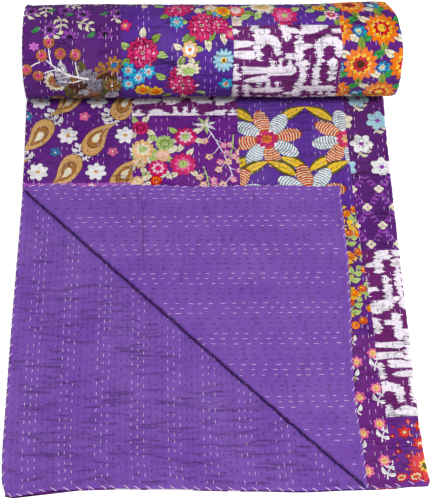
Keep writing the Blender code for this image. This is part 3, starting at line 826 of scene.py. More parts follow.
def peonies(box):
    cloth = Print(VIOLET_GROUND, 3)
    u0, v0, u1, v1 = box
    if not (v0 < 1200 < v1 and u0 < 1200 < u1):
        for k, (u, v) in enumerate(cloth.scatter(box, 92)):
            cloth.leaves_round((u, v), 28, 5, 15, 24)
            cloth.peony((u, v), 31, 27, 40 * k)
            cloth.flower((u + 40, v + 30), 13, 5, CYAN, ORANGE, 0.3, 20 * k, SKY, INK)
        return cloth
    blooms = ((1280, 1285, 32, 30), (1200, 1180, 38, 26), (1160, 1232, 35, 28), (1200, 1352, 44, 26),
              (1126, 1230, 22, 20), (1270, 1130, 30, 27), (1180, 1460, 32, 28), (1290, 1470, 30, 28))
    for u, v, width, height in blooms:
        cloth.leaves_round((u, v), width * 0.8, 6, 14, 26)
    for k, (u, v, width, height) in enumerate(blooms):
        cloth.peony((u, v), width, height, 37 * k)
    cloth.leaves_round((1190, 1282), 12, 5, 12, 20)
    cloth.petals((1188, 1318), 26, 9, CREAM, 0.25, 8, 0.55, INK)
    cloth.petals((1188, 1320), 16, 7, LIME, 0.25, 0, 0.5)
    for k, (u, v) in enumerate(((1210, 1224), (1308, 1318), (1288, 1334), (1268, 1322), (1308, 1348),
                                (1122, 1195), (1232, 1128), (1130, 1470), (1112, 1350))):
        cloth.flower((u, v), 15, 6, CYAN, ORANGE, 0.34, 25 * k, SKY, DEEP_CYAN)
    for k, (u, v) in enumerate(((1186, 1280), (1280, 1366), (1254, 1372), (1132, 1180), (1112, 1192),
                                (1228, 1440))):
        cloth.flower((u, v), 17, 8, (PEACH, YELLOW, YELLOW)[k % 3], ORANGE, 0.2, 20,
                     (WHITE, ORANGE, ORANGE)[k % 3], BROWN)
    for place in ((1314, 1230), (1104, 1250)):
        cloth.flower(place, 13, 5, HOT_PINK, YELLOW, 0.35, 10, PINK, DEEP_PINK)
    cloth.daisy((1118, 1300), 22, 13, SKY, YELLOW, DEEP_CYAN)
    return cloth


def branches(box):
    cloth = Print(PURPLE_GROUND, 4)
    u0, v0, u1, v1 = box
    if u0 < 660 < u1 and v0 < 50:
        return strip_sprays(box)
    if u0 > 1300 and v0 < 1300 < v1:
        dark_foliage(cloth)
        for place in cloth.branch((1388, 1336), -27, 104, WHITE, 4.4, 6, 0.1, (0.26, 0.44)):
            round_flower(cloth, place, 12)
        cloth.line(((1390, 1334), (1420, 1344), (1450, 1342)), 3.4, WHITE)
        crescent(cloth, (1452, 1342), 24, -60, 120)
        cloth.petals((1337, 1308), 17, 8, TAN, 0.4, 12, 1.1, BROWN)
        cloth.fill(oval((1337, 1308), 7, 5, 20, 12), BLUE)
        cloth.petals((1496, 1272), 11, 6, ORCHID, 0.4, 0, 0.8)
        return cloth
    for k, (u, v) in enumerate(cloth.scatter(box, 88)):
        for place in cloth.branch((u - 34, v + 34), -45, 96, WHITE, 4.0, 4):
            round_flower(cloth, place, 11)
        cloth.leaves_round((u, v), 4, 4, 12, 24, (WHITE, CREAM))
        if k % 2:
            crescent(cloth, (u + 6, v + 44), 20, -50, 130)
    return cloth


def round_flower(cloth, centre, size):
    cloth.petals(centre, size, 12, ink(184, 112, 68), 0.18, 5, 1.0, INK)
    cloth.petals(centre, size * 0.6, 9, ink(206, 90, 96), 0.2, 15)
    cloth.petals(centre, size * 0.42, 7, ink(228, 84, 140), 0.3, 5)
    cloth.fill(oval(centre, size * 0.16, size * 0.16, 0, 8), DEEP_PINK)


def crescent(cloth, centre, size, start, end):
    """A half-open feathery flower: a crescent of cream with fringed petals outside."""
    centre, angles = np.array(centre, dtype=float), np.linspace(start, end, 15)
    for k, angle in enumerate(angles):
        reach = size * (1.0 + 0.16 * (k % 2))
        cloth.leaf(centre + way(angle) * size * 0.55, centre + way(angle) * reach, size * 0.3, CREAM,
                   OLIVE if k % 2 else None)
    outer, inner = ([centre + size * reach * way(angle) for angle in angles] for reach in (0.72, 0.42))
    cloth.fill(np.array(outer + inner[::-1]), TAN)
    for angle in angles[1:-1:2]:
        cloth.line((centre + way(angle) * size * 0.44, centre + way(angle) * size * 0.7), 1.2, OLIVE)


def dark_foliage(cloth):
    """Grey and olive leaves and seed heads."""
    dyes = (GREY, OLIVE, BROWN, ink(196, 192, 202), GREY, TAN)
    for k in range(22):
        place = (1328 + 5.0 * k, 1356 + 14 * math.sin(2.3 * k))
        cloth.spray(place, -150 + 75 * (k % 4), 36, dyes[k % 6], INK, 3, 10)
    for centre, size in (((1342, 1352), 21), ((1412, 1400), 20), ((1372, 1404), 18), ((1455, 1398), 17)):
        cloth.petals(centre, size, 11, OLIVE, 0.2, 0, 0.9, INK)
        cloth.petals(centre, size * 0.7, 9, BROWN, 0.25, 20, 0.9)
        for degrees in range(0, 360, 40):
            cloth.leaf(centre + way(degrees) * size * 0.2, centre + way(degrees) * size * 0.85, 3, TAN)
        cloth.fill(oval(centre, 3, 3, 0, 8), CREAM)


def strip_sprays(box):
    """White sprays and pink blossoms by turns, in a half-drop repeat."""
    cloth = Print(ink(112, 44, 130), 5)
    u0, v0, u1, v1 = box
    for j, v in enumerate(np.arange(v0 + 14, v1, 36)):
        for i, u in enumerate(np.arange(u1 - 16, u0, -32)):
            place = (u, v + 18 * (i % 2))
            if (i + j) % 2:
                cloth.flower(place, 12, 6, PINK, GOLD, 0.3, 20 * j, PEACH)
            else:
                cloth.spray(place, 62 + 56 * (j % 2), 34, WHITE, GREY, 2, 8)
    return cloth


def stars(box):
    """Small tonal stars, cream sprays and green leaves in a loose scatter."""
    cloth = Print(PURPLE_GROUND, 6)
    for k, (u, v) in enumerate(cloth.scatter(box, 54)):
        cloth.spray((u + 14, v + 20), 200 - 50 * (k % 3), 36, CREAM, GREY, 2, 7)
        cloth.leaf((u + 20, v - 6), (u + 38, v + 5), 9, GREEN, INK, 2.0)
        cloth.petals((u, v), 17, 8, LILAC, 0.5, 11 * k)
        cloth.petals((u, v), 8, 8, INK, 0.5, 11 * k)
    return cloth


def blossoms(box):
    cloth = Print(VIOLET_GROUND, 8)
    large = ((1086, 1192, 20, ink(232, 92, 70), ROSE), (1028, 1178, 28, CREAM, PEACH),
             (1092, 1224, 15, CREAM, ROSE), (895, 1208, 15, ROSE, HOT_PINK), (912, 1182, 14, YELLOW, ORANGE),
             (990, 1210, 27, HOT_PINK, PINK))
    for u, v, size, dye, inner in large:
        cloth.leaves_round((u, v), size * 0.8, 4, 14, 26, (LIME, LEAF))
    for u, v, size, dye, inner in large:
        cloth.flower((u, v), size, 9, dye, LIME, 0.22, 10, inner)
    for k, (u, v) in enumerate(cloth.scatter((box[0], box[1], box[2], 1158), 62)):
        cloth.leaf((u + 8, v + 8), (u + 32, v + 20), 12, LIME, OLIVE, 2.0)
        cloth.flower((u, v), 20, 9, (CREAM, HOT_PINK, PEACH)[k % 3], LEAF, 0.25, 20 * k,
                     (PEACH, PINK, ROSE)[k % 3])
    return cloth


def bouquet(box):
    """Loose flowers with pale leaves, and small blossoms along bowed stems."""
    cloth = Print(MAGENTA_GROUND, 9)
    u0, v0, u1, v1 = box
    if not (u0 < 300 < u1 and v0 < 700 < v1):
        for k, (u, v) in enumerate(cloth.scatter(box, 74)):
            cloth.spray((u - 26, v + 30), -48, 70, (CREAM, LIME)[k % 2], OLIVE, 3, 10)
            cloth.flower((u, v), 21, 8, (PINK, PEACH, HOT_PINK)[k % 3], LIME, 0.25, 25 * k,
                         (HOT_PINK, CREAM, ROSE)[k % 3])
            cloth.flower((u + 30, v + 26), 10, 5, PEACH, RUST, 0.3, 9 * k, ROSE)
        return cloth
    blooms = ((242, 800, 18, HOT_PINK, DEEP_PINK), (246, 744, 25, PEACH, CREAM), (240, 712, 16, PEACH, CREAM),
              (292, 760, 20, LIME, LEAF), (288, 728, 16, PEACH, ROSE), (336, 776, 24, HOT_PINK, ROSE),
              (330, 706, 28, HOT_PINK, PINK), (278, 696, 21, HOT_PINK, ROSE), (274, 666, 14, RED, ORANGE),
              (236, 664, 13, PEACH, CREAM))
    for u, v, size, dye, inner in blooms:
        cloth.leaves_round((u, v), size * 0.7, 4, 13, 26, (CREAM, LIME, CREAM))
    for u, v, size, dye, inner in blooms:
        cloth.petals((u, v), size, 11, dye, 0.18, 10, 1.0, DEEP_PINK if dye is HOT_PINK else None)
        cloth.petals((u, v), size * 0.66, 8, inner, 0.3, 20)
        cloth.petals((u, v), size * 0.38, 7, LIME if size > 22 else dye, 0.3, 5)
    stems = ((378, 806, -68, 150), (436, 780, -100, 70), (372, 700, -80, 60))
    for k, (u, v, degrees, length) in enumerate(stems):
        tips = cloth.branch((u, v), degrees, length, WHITE if k == 0 else LIME, 3.0, 7 if k == 0 else 5, 0.04,
                            (0.12, 0.24) if k == 0 else (0.2, 0.36))
        for j, place in enumerate(tips):
            cloth.flower(place, 8.6, 5, (PINK, PEACH)[(j + k) % 2], DEEP_PINK, 0.3, 30 * j, ROSE)
    for degrees in range(20, 360, 52):
        tip = np.array((378, 806)) + way(degrees) * 25
        cloth.leaf((378, 806), tip, 7, (CREAM, LIME, WHITE)[degrees % 3], GREY)
    return cloth


def paisleys(box):
    """Golden paisleys turned about by turns, smaller ones inside each, among flowers and white sprays."""
    cloth = Print(ink(100, 38, 132), 10)
    u0, v0, u1, v1 = box
    for i, j, place in cloth.half_drop((u0 - 30, u1 + 70, 120), (v0 + 24, v1 + 60, 92), 60):
        degrees = 68 if (i + j) % 2 else 248
        cloth.spray(place + (44, 30), 120, 44, WHITE, GREY, 3, 10)
        for size, dye in ((52, BROWN), (50, GOLD), (31, BROWN), (29, TAN), (15, CREAM)):
            cloth.fill(paisley(place, size, degrees), dye)
        cloth.flower(place + (60, 4), 22, 7, WHITE, GOLD, 0.3, 10 * i, None, GREY)
        cloth.flower(place + (34, -38), 12, 5, (BLUE, PINK)[i % 2], CREAM, 0.3, 20 * j)
    return cloth


def paisley(centre, size, degrees):
    """The outline of a drop with its tip bent over."""
    share = np.linspace(0, 1, 30, endpoint=False)
    angle = 2 * math.pi * share
    wide = np.sin(angle) * np.sin(angle / 2) ** 1.2
    x, y = -np.cos(angle), wide * 0.62
    y = y + 0.55 * np.clip(-x, 0, 1) ** 2.5
    return turned(np.stack((x, y), 1) * size, centre, degrees)


def big_flowers(box):
    """Broad flowers of eight striped petals, rust and white by turns, with yellow and olive leaves."""
    cloth = Print(ink(98, 54, 156), 12)
    u0, v0, u1, v1 = box
    for i, j, middle in cloth.half_drop((u0 + 60, u1 + 90, 168), (v1 - 252, v0 - 80, -140), -84):
        for k, side in enumerate((-1, 1, -1, 1)):
            base, tip = middle + (26 * side, 46 - 92 * (k > 1)), middle + (86 * side, 84 - 168 * (k > 1))
            cloth.leaf(base, tip, 28, OLIVE, None, 4 * side, INK)
            cloth.leaf(base, tip, 17, YELLOW, GREEN, 4 * side)
        for k in range(8):
            petal = oval(middle + way(45 * k + 12) * 46, 31, 17.5, 45 * k + 12, 18)
            cloth.fill(petal, INK)
            petal = oval(middle + way(45 * k + 12) * 46, 30, 16.5, 45 * k + 12, 18)
            plain = (k + i + j) % 2
            cloth.fill(petal, WHITE if plain else RUST)
            for reach in range(24, 72, 6):
                across, place = way(45 * k + 102) * 17, middle + way(45 * k + 12) * reach
                cloth.bars(petal, (place - across, place + way(45 * k + 12) * 4, place + across), 2.0,
                           TEAL if plain else CREAM)
        cloth.petals(middle, 23, 10, HOT_PINK, 0.25, 0, 1.0, DEEP_PINK)
        cloth.petals(middle, 12, 7, (ORANGE, PEACH)[i % 2], 0.3)
    return cloth


def berries(box):
    """Bright round fruits in pairs on leafy twigs, in a loose scatter."""
    cloth = Print(ink(98, 40, 132), 13)
    for k, (u, v) in enumerate(cloth.scatter(box, 42)):
        cloth.spray((u - 16, v + 14), -40 + 50 * (k % 3), 40, (GREEN, YELLOW, LIME)[k % 3], OLIVE, 2, 12)
        for side in (-1, 1):
            cloth.fill(oval((u + 8 * side, v + 5 * side), 8.5, 8.5), (ORANGE, RUST)[side > 0])
            cloth.fill(oval((u + 8 * side - 2, v + 5 * side + 2), 2.2, 2.2, 0, 8), YELLOW)
    return cloth


def anemones(box):
    """Six-petalled flowers in sky, white and cream in a half-drop repeat, with sprays between them."""
    cloth = Print(ink(96, 38, 118), 14)
    u0, v0, u1, v1 = box
    for i, j, place in cloth.half_drop((u0 - 8, u1 + 40, 76), (v0 + 20, v1 + 30, 60), 38):
        cloth.spray(place + (28, 26), 40, 34, CREAM, GREY, 2, 8)
        cloth.flower(place, 25, 6, (SKY, WHITE, CREAM)[(i + j) % 3], LILAC, 0.3, 25 * j, None, INK)
        cloth.dots(place + oval((0, 0), 9, 9, 0, 6), 1.5, DEEP_CYAN)
    return cloth


def trellis(box):
    """A lattice of leafy lilac twigs with a small cream blossom at each crossing."""
    cloth = Print(PURPLE_GROUND, 15)
    u0, v0, u1, v1 = box
    crossings = [place for _, _, place in cloth.half_drop((u0 - 54, u1 + 54, 54), (v0 - 30, v1 + 20, 44), 27)]
    for place in crossings:
        for side in (-1, 1):
            across = np.array((27 * side, 44))
            cloth.line((place, place + across), 2.4, LILAC, 1.0, 1)
            for share in (0.3, 0.5, 0.7):
                base = place + share * across
                cloth.leaf(base, base + (11 * side, -6), 5.5, LILAC)
    for place in crossings:
        cloth.flower(place, 10, 4, CREAM, ORCHID, 0.3, 45)
    return cloth


def poppies(box):
    cloth = Print(ink(110, 46, 142), 16)
    for u, v in cloth.scatter((690, 4, 884, 130), 17):
        cloth.flower((u, v), 2.6, 5, (WHITE, RED, ink(222, 120, 90))[int(u) % 3], RED)
    blooms = ((729, 103, 13), (757, 114, 11), (753, 78, 14), (738, 124, 5), (706, 97, 5), (713, 66, 5),
              (730, 54, 5), (800, 96, 13), (824, 60, 12), (862, 104, 12))
    for k, (u, v, size) in enumerate(blooms):
        cloth.flower((u, v), size, 6, RED, CREAM, 0.4, 23 * k, ink(232, 84, 52), DEEP_PINK)
    for centre in ((758, 30), (840, 26)):
        cloth.daisy(centre, 32, 20, ink(220, 66, 70), YELLOW, RED, 0.11)
        cloth.petals(centre, 14, 9, YELLOW, 0.25)
        cloth.petals(centre, 9, 7, OLIVE, 0.3)
    for centre, size in (((711, 15), 12), ((736, 12), 14), ((790, 14), 13)):
        cloth.petals(centre, size, 9, RED, 0.2, 0, 0.8)
        cloth.petals(centre, size * 0.7, 9, CREAM, 0.3, 10, 0.7)
        cloth.petals(centre, size * 0.45, 7, RUST, 0.2, 0, 0.7)
    return cloth


def sunflowers(box):
    """Large orange and small blue flowers in a half-drop repeat, with green and cream leaves."""
    cloth = Print(ink(96, 36, 128), 17)
    u0, v0, u1, v1 = box
    for i, j, middle in cloth.half_drop((u0 + 30, u1 + 50, 92), (v0 + 30, v1 + 40, 70), 46):
        for k, degrees in enumerate(range(20, 360, 60)):
            base, tip = middle + way(degrees) * 26, middle + way(degrees + 8) * 54
            cloth.leaf(base, tip, 15, (GREEN, LEAF, CREAM)[k % 3], (INK, INK, BROWN)[k % 3], 3, INK)
        cloth.petals(middle, 34, 14, ORANGE, 0.22, 10 * i, 1.0, RUST)
        cloth.petals(middle, 22, 11, YELLOW, 0.25, 5)
        cloth.petals(middle, 17, 9, RED, 0.22, 15)
        cloth.petals(middle, 9, 8, (BROWN, YELLOW)[(i + j) % 2], 0.25)
        for side in (-1, 1):
            place = middle + (44 * side, 6)
            cloth.flower(place, 12, 6, (BLUE, CYAN)[side > 0], YELLOW, 0.28, 20 * i, SKY, DEEP_CYAN)
    return cloth


def lilac(box):
    """Small tonal sprigs on orchid pink."""
    cloth = Print(ink(176, 88, 190), 18)
    for k, (u, v) in enumerate(cloth.scatter(box, 42)):
        cloth.line(((u - 14, v + 12), (u, v), (u + 12, v - 14)), 2, LILAC)
        cloth.leaf((u, v), (u + 14, v + 6), 7, LILAC, ROSE, 2)
        cloth.flower((u, v), 9, 6, (ROSE, PINK)[k % 2], LILAC, 0.3, 20 * k, WHITE)
    return cloth


def sprigs(box):
    cloth = Print(ink(84, 34, 128), 19)
    for k, (u, v) in enumerate(cloth.scatter(box, 50)):
        cloth.line(((u - 16, v + 16), (u - 4, v + 2), (u + 14, v - 12)), 2.2, LIME)
        cloth.leaf((u - 6, v + 4), (u - 22, v + 2), 8, LIME, OLIVE, 2)
        cloth.leaf((u + 4, v - 4), (u + 20, v + 4), 8, LEAF, OLIVE, 2)
        cloth.flower((u, v), 13, 6, (ROSE, ORANGE, CYAN, HOT_PINK)[k % 4], YELLOW, 0.32, 20 * k,
                     (HOT_PINK, YELLOW, SKY, ROSE)[k % 4], INK)
    return cloth


# Resist-dyed figures about their own middle: strokes through (u, v, half width), in millimetres of cloth.
FIGURES = (
    (((-26, 0, 9), (22, 0, 10)), ((-20, 0, 6), (-22, 22, 4)), ((-2, 0, 6), (-2, 24, 4)),
     ((18, 0, 7), (18, 20, 4))),
    (((-18, -16, 6), (-22, 8, 9), (-4, 20, 10), (16, 12, 9), (18, -8, 6)),),
    (((-16, -20, 5), (-14, 18, 9)), ((10, -22, 9), (12, 20, 5))),
    (((-12, -4, 14), (12, 4, 12)), ((12, 4, 8), (28, 14, 4))),
    (((0, -24, 7), (2, 22, 8)), ((0, 6, 7), (24, 10, 5)), ((0, -12, 7), (-24, -10, 5))),
    (((-24, -10, 6), (24, -12, 8)), ((-22, 10, 8), (20, 12, 5))),
)


def figure_strokes(patch):
    """The figures in loose rows over the patch, mirrored and scaled at random."""
    random = np.random.default_rng(int(patch.column * 100 + patch.start * 10))
    u0, v0, u1, v1 = patch.box()
    for j, v in enumerate(np.arange(v0, v1 + 50, 47)):
        for u in np.arange(u0 + 30 * (j % 2), u1 + 50, 58):
            figure = FIGURES[random.integers(len(FIGURES))]
            flip = random.choice((-1, 1), 2) * random.uniform(0.85, 1.1)
            shift = np.array((u, v)) + random.uniform(-5, 5, 2)
            for stroke in figure:
                stroke = np.array(stroke, dtype=float)
                yield np.concatenate((stroke[:, :2] * flip + shift, stroke[:, 2:]), axis=1)


def resist_depth(strokes, u, v):
    """How deep each place lies inside the nearest pale figure, in millimetres, and below 0 outside."""
    reach = np.full(u.shape, -30.0)
    for stroke in strokes:
        for (u0, v0, w0), (u1, v1, w1) in zip(stroke, stroke[1:]):
            along = np.array((u1 - u0, v1 - v0))
            share = np.clip(((u - u0) * along[0] + (v - v0) * along[1]) / (along @ along), 0, 1)
            away = np.hypot(u - u0 - share * along[0], v - v0 - share * along[1])
            reach = np.maximum(reach, w0 + (w1 - w0) * share - away)
    return reach


DESIGNS = {design.__name__: design for design in (
    peonies, branches, stars, blossoms, bouquet, paisleys, big_flowers, berries, anemones, trellis, poppies,
    sunflowers, lilac, sprigs)}


# ---- Materials -----------------------------------------------------------------------------------------

class Nodes:
    """Adds nodes to a tree. Each input is a value or another node's output."""

    def __init__(self, tree):
        self.tree = tree

    def add(self, kind, inputs=None, **settings):
        made = self.tree.nodes.new(kind)
        for name, value in settings.items():
            setattr(made, name, value)
        for socket, value in (inputs or {}).items():
            if isinstance(value, bpy.types.NodeSocket):
                self.tree.links.new(value, made.inputs[socket])
            else:
                made.inputs[socket].default_value = value
        return made

    def math(self, operation, first, second=0.0, third=0.0):
        return self.add("ShaderNodeMath", {0: first, 1: second, 2: third}, operation=operation).outputs[0]

    def noise(self, place, cells, detail):
        """Noise whose cells are this many metres wide across and along the cloth."""
        stretch = (1 / cells[0], 1 / cells[1], 1.0)
        scaled = self.add("ShaderNodeVectorMath", {0: place, 1: stretch}, operation="MULTIPLY").outputs[0]
        return self.add("ShaderNodeTexNoise", {"Vector": scaled, "Scale": 1.0, "Detail": detail}).outputs[0]

    def creases(self, place):
        """1 along thin wandering lines across the stitch rows, and 0 away from them."""
        found = 0.0
        for cells in ((0.085, 0.015), (0.05, 0.0105)):
            lines = self.math("ABSOLUTE", self.math("SUBTRACT", self.noise(place, cells, 1.0), 0.5))
            near = self.math("SUBTRACT", 1.0, self.math("MINIMUM", self.math("MULTIPLY", lines, 34.0), 1.0))
            found = self.math("MAXIMUM", found, near)
        here = self.math("SUBTRACT", self.noise(place, (0.05, 0.03), 1.0), 0.45)
        return self.math("MULTIPLY", found, self.math("MAXIMUM", self.math("MULTIPLY", here, 3.0), 0.0))

    def group(self, shared, inputs):
        return self.add("ShaderNodeGroup", inputs, node_tree=shared)

    def bump(self, height):
        """Relief from a height in millimetres."""
        return self.add("ShaderNodeBump", {"Height": height, "Distance": 0.001, "Strength": 1.0}).outputs[0]


def shared_group(name, takes, gives):
    """A node group with these named sockets, and its nodes, inputs and outputs."""
    made = bpy.data.node_groups.new(name, "ShaderNodeTree")
    for socket, kind, value in takes:
        made.interface.new_socket(name=socket, in_out="INPUT", socket_type=kind).default_value = value
    made.interface.new_socket(name=gives[0], in_out="OUTPUT", socket_type=gives[1])
    nodes = Nodes(made)
    return made, nodes, nodes.add("NodeGroupInput").outputs, nodes.add("NodeGroupOutput").inputs


def cotton_relief():
    """Uneven hand-loomed threads both ways, and the fine crinkle that quilting leaves."""
    made, nodes, takes, gives = shared_group("cotton_relief", (
        ("Place", "NodeSocketVector", (0.0, 0.0, 0.0)), ("Thread Height", "NodeSocketFloat", 0.12),
        ("Crinkle Height", "NodeSocketFloat", 0.55), ("Crease Height", "NodeSocketFloat", 1.0)),
        ("Height", "NodeSocketFloat"))
    weft = nodes.noise(takes["Place"], (0.011, 0.0011), 1.0)
    warp = nodes.noise(takes["Place"], (0.0011, 0.011), 1.0)
    crinkle = nodes.noise(takes["Place"], (0.0042, 0.0065), 2.0)
    threads = nodes.math("MULTIPLY", nodes.math("ADD", weft, warp), takes["Thread Height"])
    raised = nodes.math("MULTIPLY_ADD", crinkle, takes["Crinkle Height"], threads)
    deep = nodes.math("MULTIPLY", nodes.creases(takes["Place"]), takes["Crease Height"])
    made.links.new(nodes.math("SUBTRACT", raised, deep), gives["Height"])
    return made


def worn_dye_with_crease_shade():
    """A dye that years of washing have left a little paler in places, with uneven threads, and darkened with
    painted shade along the creases.
    """
    made, nodes, takes, gives = shared_group("worn_dye_with_crease_shade", (
        ("Colour", "NodeSocketColor", (0.1, 0.1, 0.1, 1.0)), ("Place", "NodeSocketVector", (0.0, 0.0, 0.0)),
        ("Wear And Shade", "NodeSocketFloat", 0.3), ("Shade", "NodeSocketFloat", 0.0),
        ("Creasing", "NodeSocketFloat", 1.0)),
        ("Colour", "NodeSocketColor"))
    broad = nodes.noise(takes["Place"], (0.09, 0.12), 2.0)
    fine = nodes.noise(takes["Place"], (0.0035, 0.005), 2.0)
    threads = nodes.noise(takes["Place"], (0.012, 0.0012), 1.0)
    cloudy = nodes.math("MULTIPLY_ADD", broad, 0.5, nodes.math("MULTIPLY", fine, 0.9))
    spread = nodes.math("ADD", cloudy, threads)
    # painted shade along the shader's fine creases
    dark = nodes.math("MULTIPLY", nodes.creases(takes["Place"]), takes["Creasing"])
    spread = nodes.math("MULTIPLY_ADD", dark, -1.2, spread)
    # its strength input scales both the paler mottling and the painted crease shade
    value = nodes.math("MULTIPLY_ADD", nodes.math("SUBTRACT", spread, 1.15), takes["Wear And Shade"], 1.0)
    # painted shade from the mesh's shade values, darkest down in the creases
    value = nodes.math("MULTIPLY", value, nodes.math("MULTIPLY_ADD", takes["Shade"], -0.66, 1.0))
    saturation = nodes.math("MULTIPLY_ADD", broad, -0.16, 1.08)
    shaded = nodes.add("ShaderNodeHueSaturation", {"Color": takes["Colour"], "Value": value,
                                                   "Saturation": saturation})
    made.links.new(shaded.outputs[0], gives["Colour"])
    return made


def resist_edge():
    """Feathered edges along the threads, as where bound yarn kept the dye out."""
    made, nodes, takes, gives = shared_group("resist_edge", (
        ("Depth", "NodeSocketFloat", 0.0), ("Slope", "NodeSocketFloat", 0.0),
        ("Place", "NodeSocketVector", (0.0, 0.0, 0.0)), ("Feather", "NodeSocketFloat", 19.0)),
        ("Mask", "NodeSocketFloat"))
    streaks = nodes.noise(takes["Place"], (0.016, 0.0034), 2.0)
    waves = nodes.noise(takes["Place"], (0.03, 0.007), 1.0)
    both = nodes.math("SUBTRACT", nodes.math("ADD", streaks, waves), 1.0)
    reach = nodes.math("MULTIPLY", takes["Feather"], nodes.math("ADD", takes["Slope"], 0.14))
    level = nodes.math("MULTIPLY_ADD", both, reach, takes["Depth"])
    mask = nodes.add("ShaderNodeMapRange", {0: level, 1: -1.0, 2: 1.0})
    made.links.new(mask.outputs[0], gives["Mask"])
    return made


RELIEF, WORN_SHADED_DYE, EDGE = cotton_relief(), worn_dye_with_crease_shade(), resist_edge()
CREASE_HEIGHT = 1.15  # in millimetres, of the shaders' fine creases


def rgba(colour):
    return (*map(float, colour), 1.0)


def new_material(name, roughness, specular, sheen=0.0):
    material = bpy.data.materials.new(name)
    material.use_nodes = True
    shader = material.node_tree.nodes["Principled BSDF"]
    shader.inputs["Roughness"].default_value = roughness
    shader.inputs["Specular IOR Level"].default_value = specular
    shader.inputs["Sheen Weight"].default_value = sheen
    return material, shader


def cloth_material(name, colour_of, wear_and_shade, creasing, thread_height=0.12, sheen=0.0):
    """A cotton whose colour is made by colour_of(nodes, place).

    creasing is how strong its fine creases are, in relief and in painted shade, where u is 0.6 and where it
    is 0.9.
    """
    material, shader = new_material(name, 0.92, 0.12, sheen)
    nodes = Nodes(material.node_tree)
    place = nodes.add("ShaderNodeUVMap", uv_map="cloth").outputs[0]
    # the painted crease shade stored on the mesh
    shade = nodes.add("ShaderNodeAttribute", attribute_name="shade").outputs["Fac"]
    across = nodes.add("ShaderNodeSeparateXYZ", {0: place}).outputs[0]
    creased_here = nodes.add("ShaderNodeMapRange", {0: across, 1: 0.6, 2: 0.9, 3: creasing[0],
                                                    4: creasing[1]}).outputs[0]
    # the dye, with painted shade darkening it in the creases
    dyed = nodes.group(WORN_SHADED_DYE, {"Colour": colour_of(nodes, place), "Place": place, "Wear And Shade": wear_and_shade,
                              "Shade": shade, "Creasing": creased_here}).outputs[0]
    deep = nodes.math("MULTIPLY", creased_here, CREASE_HEIGHT)
    height = nodes.group(RELIEF, {"Place": place, "Thread Height": thread_height, "Crease Height": deep})
    links = material.node_tree.links
    links.new(dyed, shader.inputs["Base Color"])
    links.new(nodes.bump(height.outputs[0]), shader.inputs["Normal"])
    return material


def plain_colour(colour):
    return lambda nodes, place: rgba(colour)


def dyed_colour(nodes, place):
    dye = nodes.add("ShaderNodeAttribute", attribute_name="dye").outputs["Vector"]
    return nodes.add("ShaderNodeHueSaturation", {"Color": dye, "Saturation": 1.0, "Value": 0.9}).outputs[0]


def resist_colour(nodes, place):
    parts = nodes.add("ShaderNodeSeparateXYZ", {0: nodes.add(
        "ShaderNodeAttribute", attribute_name="resist").outputs["Vector"]}).outputs
    mask = nodes.group(EDGE, {"Depth": parts[0], "Slope": parts[1], "Place": place}).outputs[0]
    mixed = nodes.add("ShaderNodeMix", {0: mask, 6: rgba(ink(106, 34, 104)), 7: rgba(ink(234, 226, 236))},
                      data_type="RGBA")
    return mixed.outputs[2]


def thread_material(name, colour):
    """Twisted cotton thread. Its map runs round the thread and along it, in metres."""
    material, shader = new_material(name, 0.8, 0.3, 0.1)
    nodes = Nodes(material.node_tree)
    place = nodes.add("ShaderNodeUVMap", uv_map="cloth").outputs[0]
    parts = nodes.add("ShaderNodeSeparateXYZ", {0: place}).outputs
    turns = nodes.math("MULTIPLY_ADD", parts[1], 1 / THREAD_TWIST, nodes.math("MULTIPLY", parts[0], 400.0))
    twist = nodes.math("SINE", nodes.math("MULTIPLY", turns, 2 * math.pi))
    # the group also paints crease shade, here as dark streaks across the thread
    worn_and_shaded = nodes.group(WORN_SHADED_DYE, {"Colour": rgba(colour), "Place": place, "Wear And Shade": 0.35})
    material.node_tree.links.new(worn_and_shaded.outputs[0], shader.inputs["Base Color"])
    material.node_tree.links.new(nodes.bump(nodes.math("MULTIPLY", twist, 0.06)), shader.inputs["Normal"])
    return material


def floor_material():
    material, shader = new_material("pale_floor", 0.9, 0.0)
    shader.inputs["Base Color"].default_value = (0.6, 0.6, 0.6, 1.0)
    shader.inputs["Emission Color"].default_value = (1.0, 1.0, 1.0, 1.0)
    shader.inputs["Emission Strength"].default_value = 0.8
    return material


VIOLET_CLOTH = cloth_material("violet_cotton", plain_colour(ink(119, 77, 168)), 0.35, (0.4, 1.0), sheen=0.05)
PRINT_CLOTH = cloth_material("printed_cotton", dyed_colour, 0.42, (1.3, 1.6))
RESIST_CLOTH = cloth_material("resist_dyed_cotton", resist_colour, 0.38, (1.2, 1.5), 0.16)
PALE_THREAD = thread_material("pale_thread", ink(246, 222, 250))
DARK_THREAD = thread_material("dark_thread", ink(62, 30, 96))


def with_outlines(points, edges, shapes, box):
    """Adds the printed shapes' outlines, in metres, to the points and edges of a patch."""
    low, high = np.array(box[:2]) / 1000, np.array(box[2:]) / 1000
    groups, edges, count = [points], list(edges), len(points)
    for outline, _ in shapes:
        outline = outline / 1000
        if (outline.max(axis=0) > low).all() and (outline.min(axis=0) < high).all():
            groups.append(outline)
            ring = np.arange(count, count + len(outline))
            edges += zip(ring.tolist(), np.roll(ring, -1).tolist())
            count += len(outline)
    return np.concatenate(groups), edges


def thinned(shapes):
    """The shapes with fewer points where nothing shows, and without the small ones there."""
    for outline, dye in shapes:
        if shows_on_print(*outline.T / 1000).any():
            yield outline, dye
        elif np.ptp(outline, axis=0).min() > 9:
            yield outline[::3] if len(outline) > 17 else outline[::2] if len(outline) > 9 else outline, dye


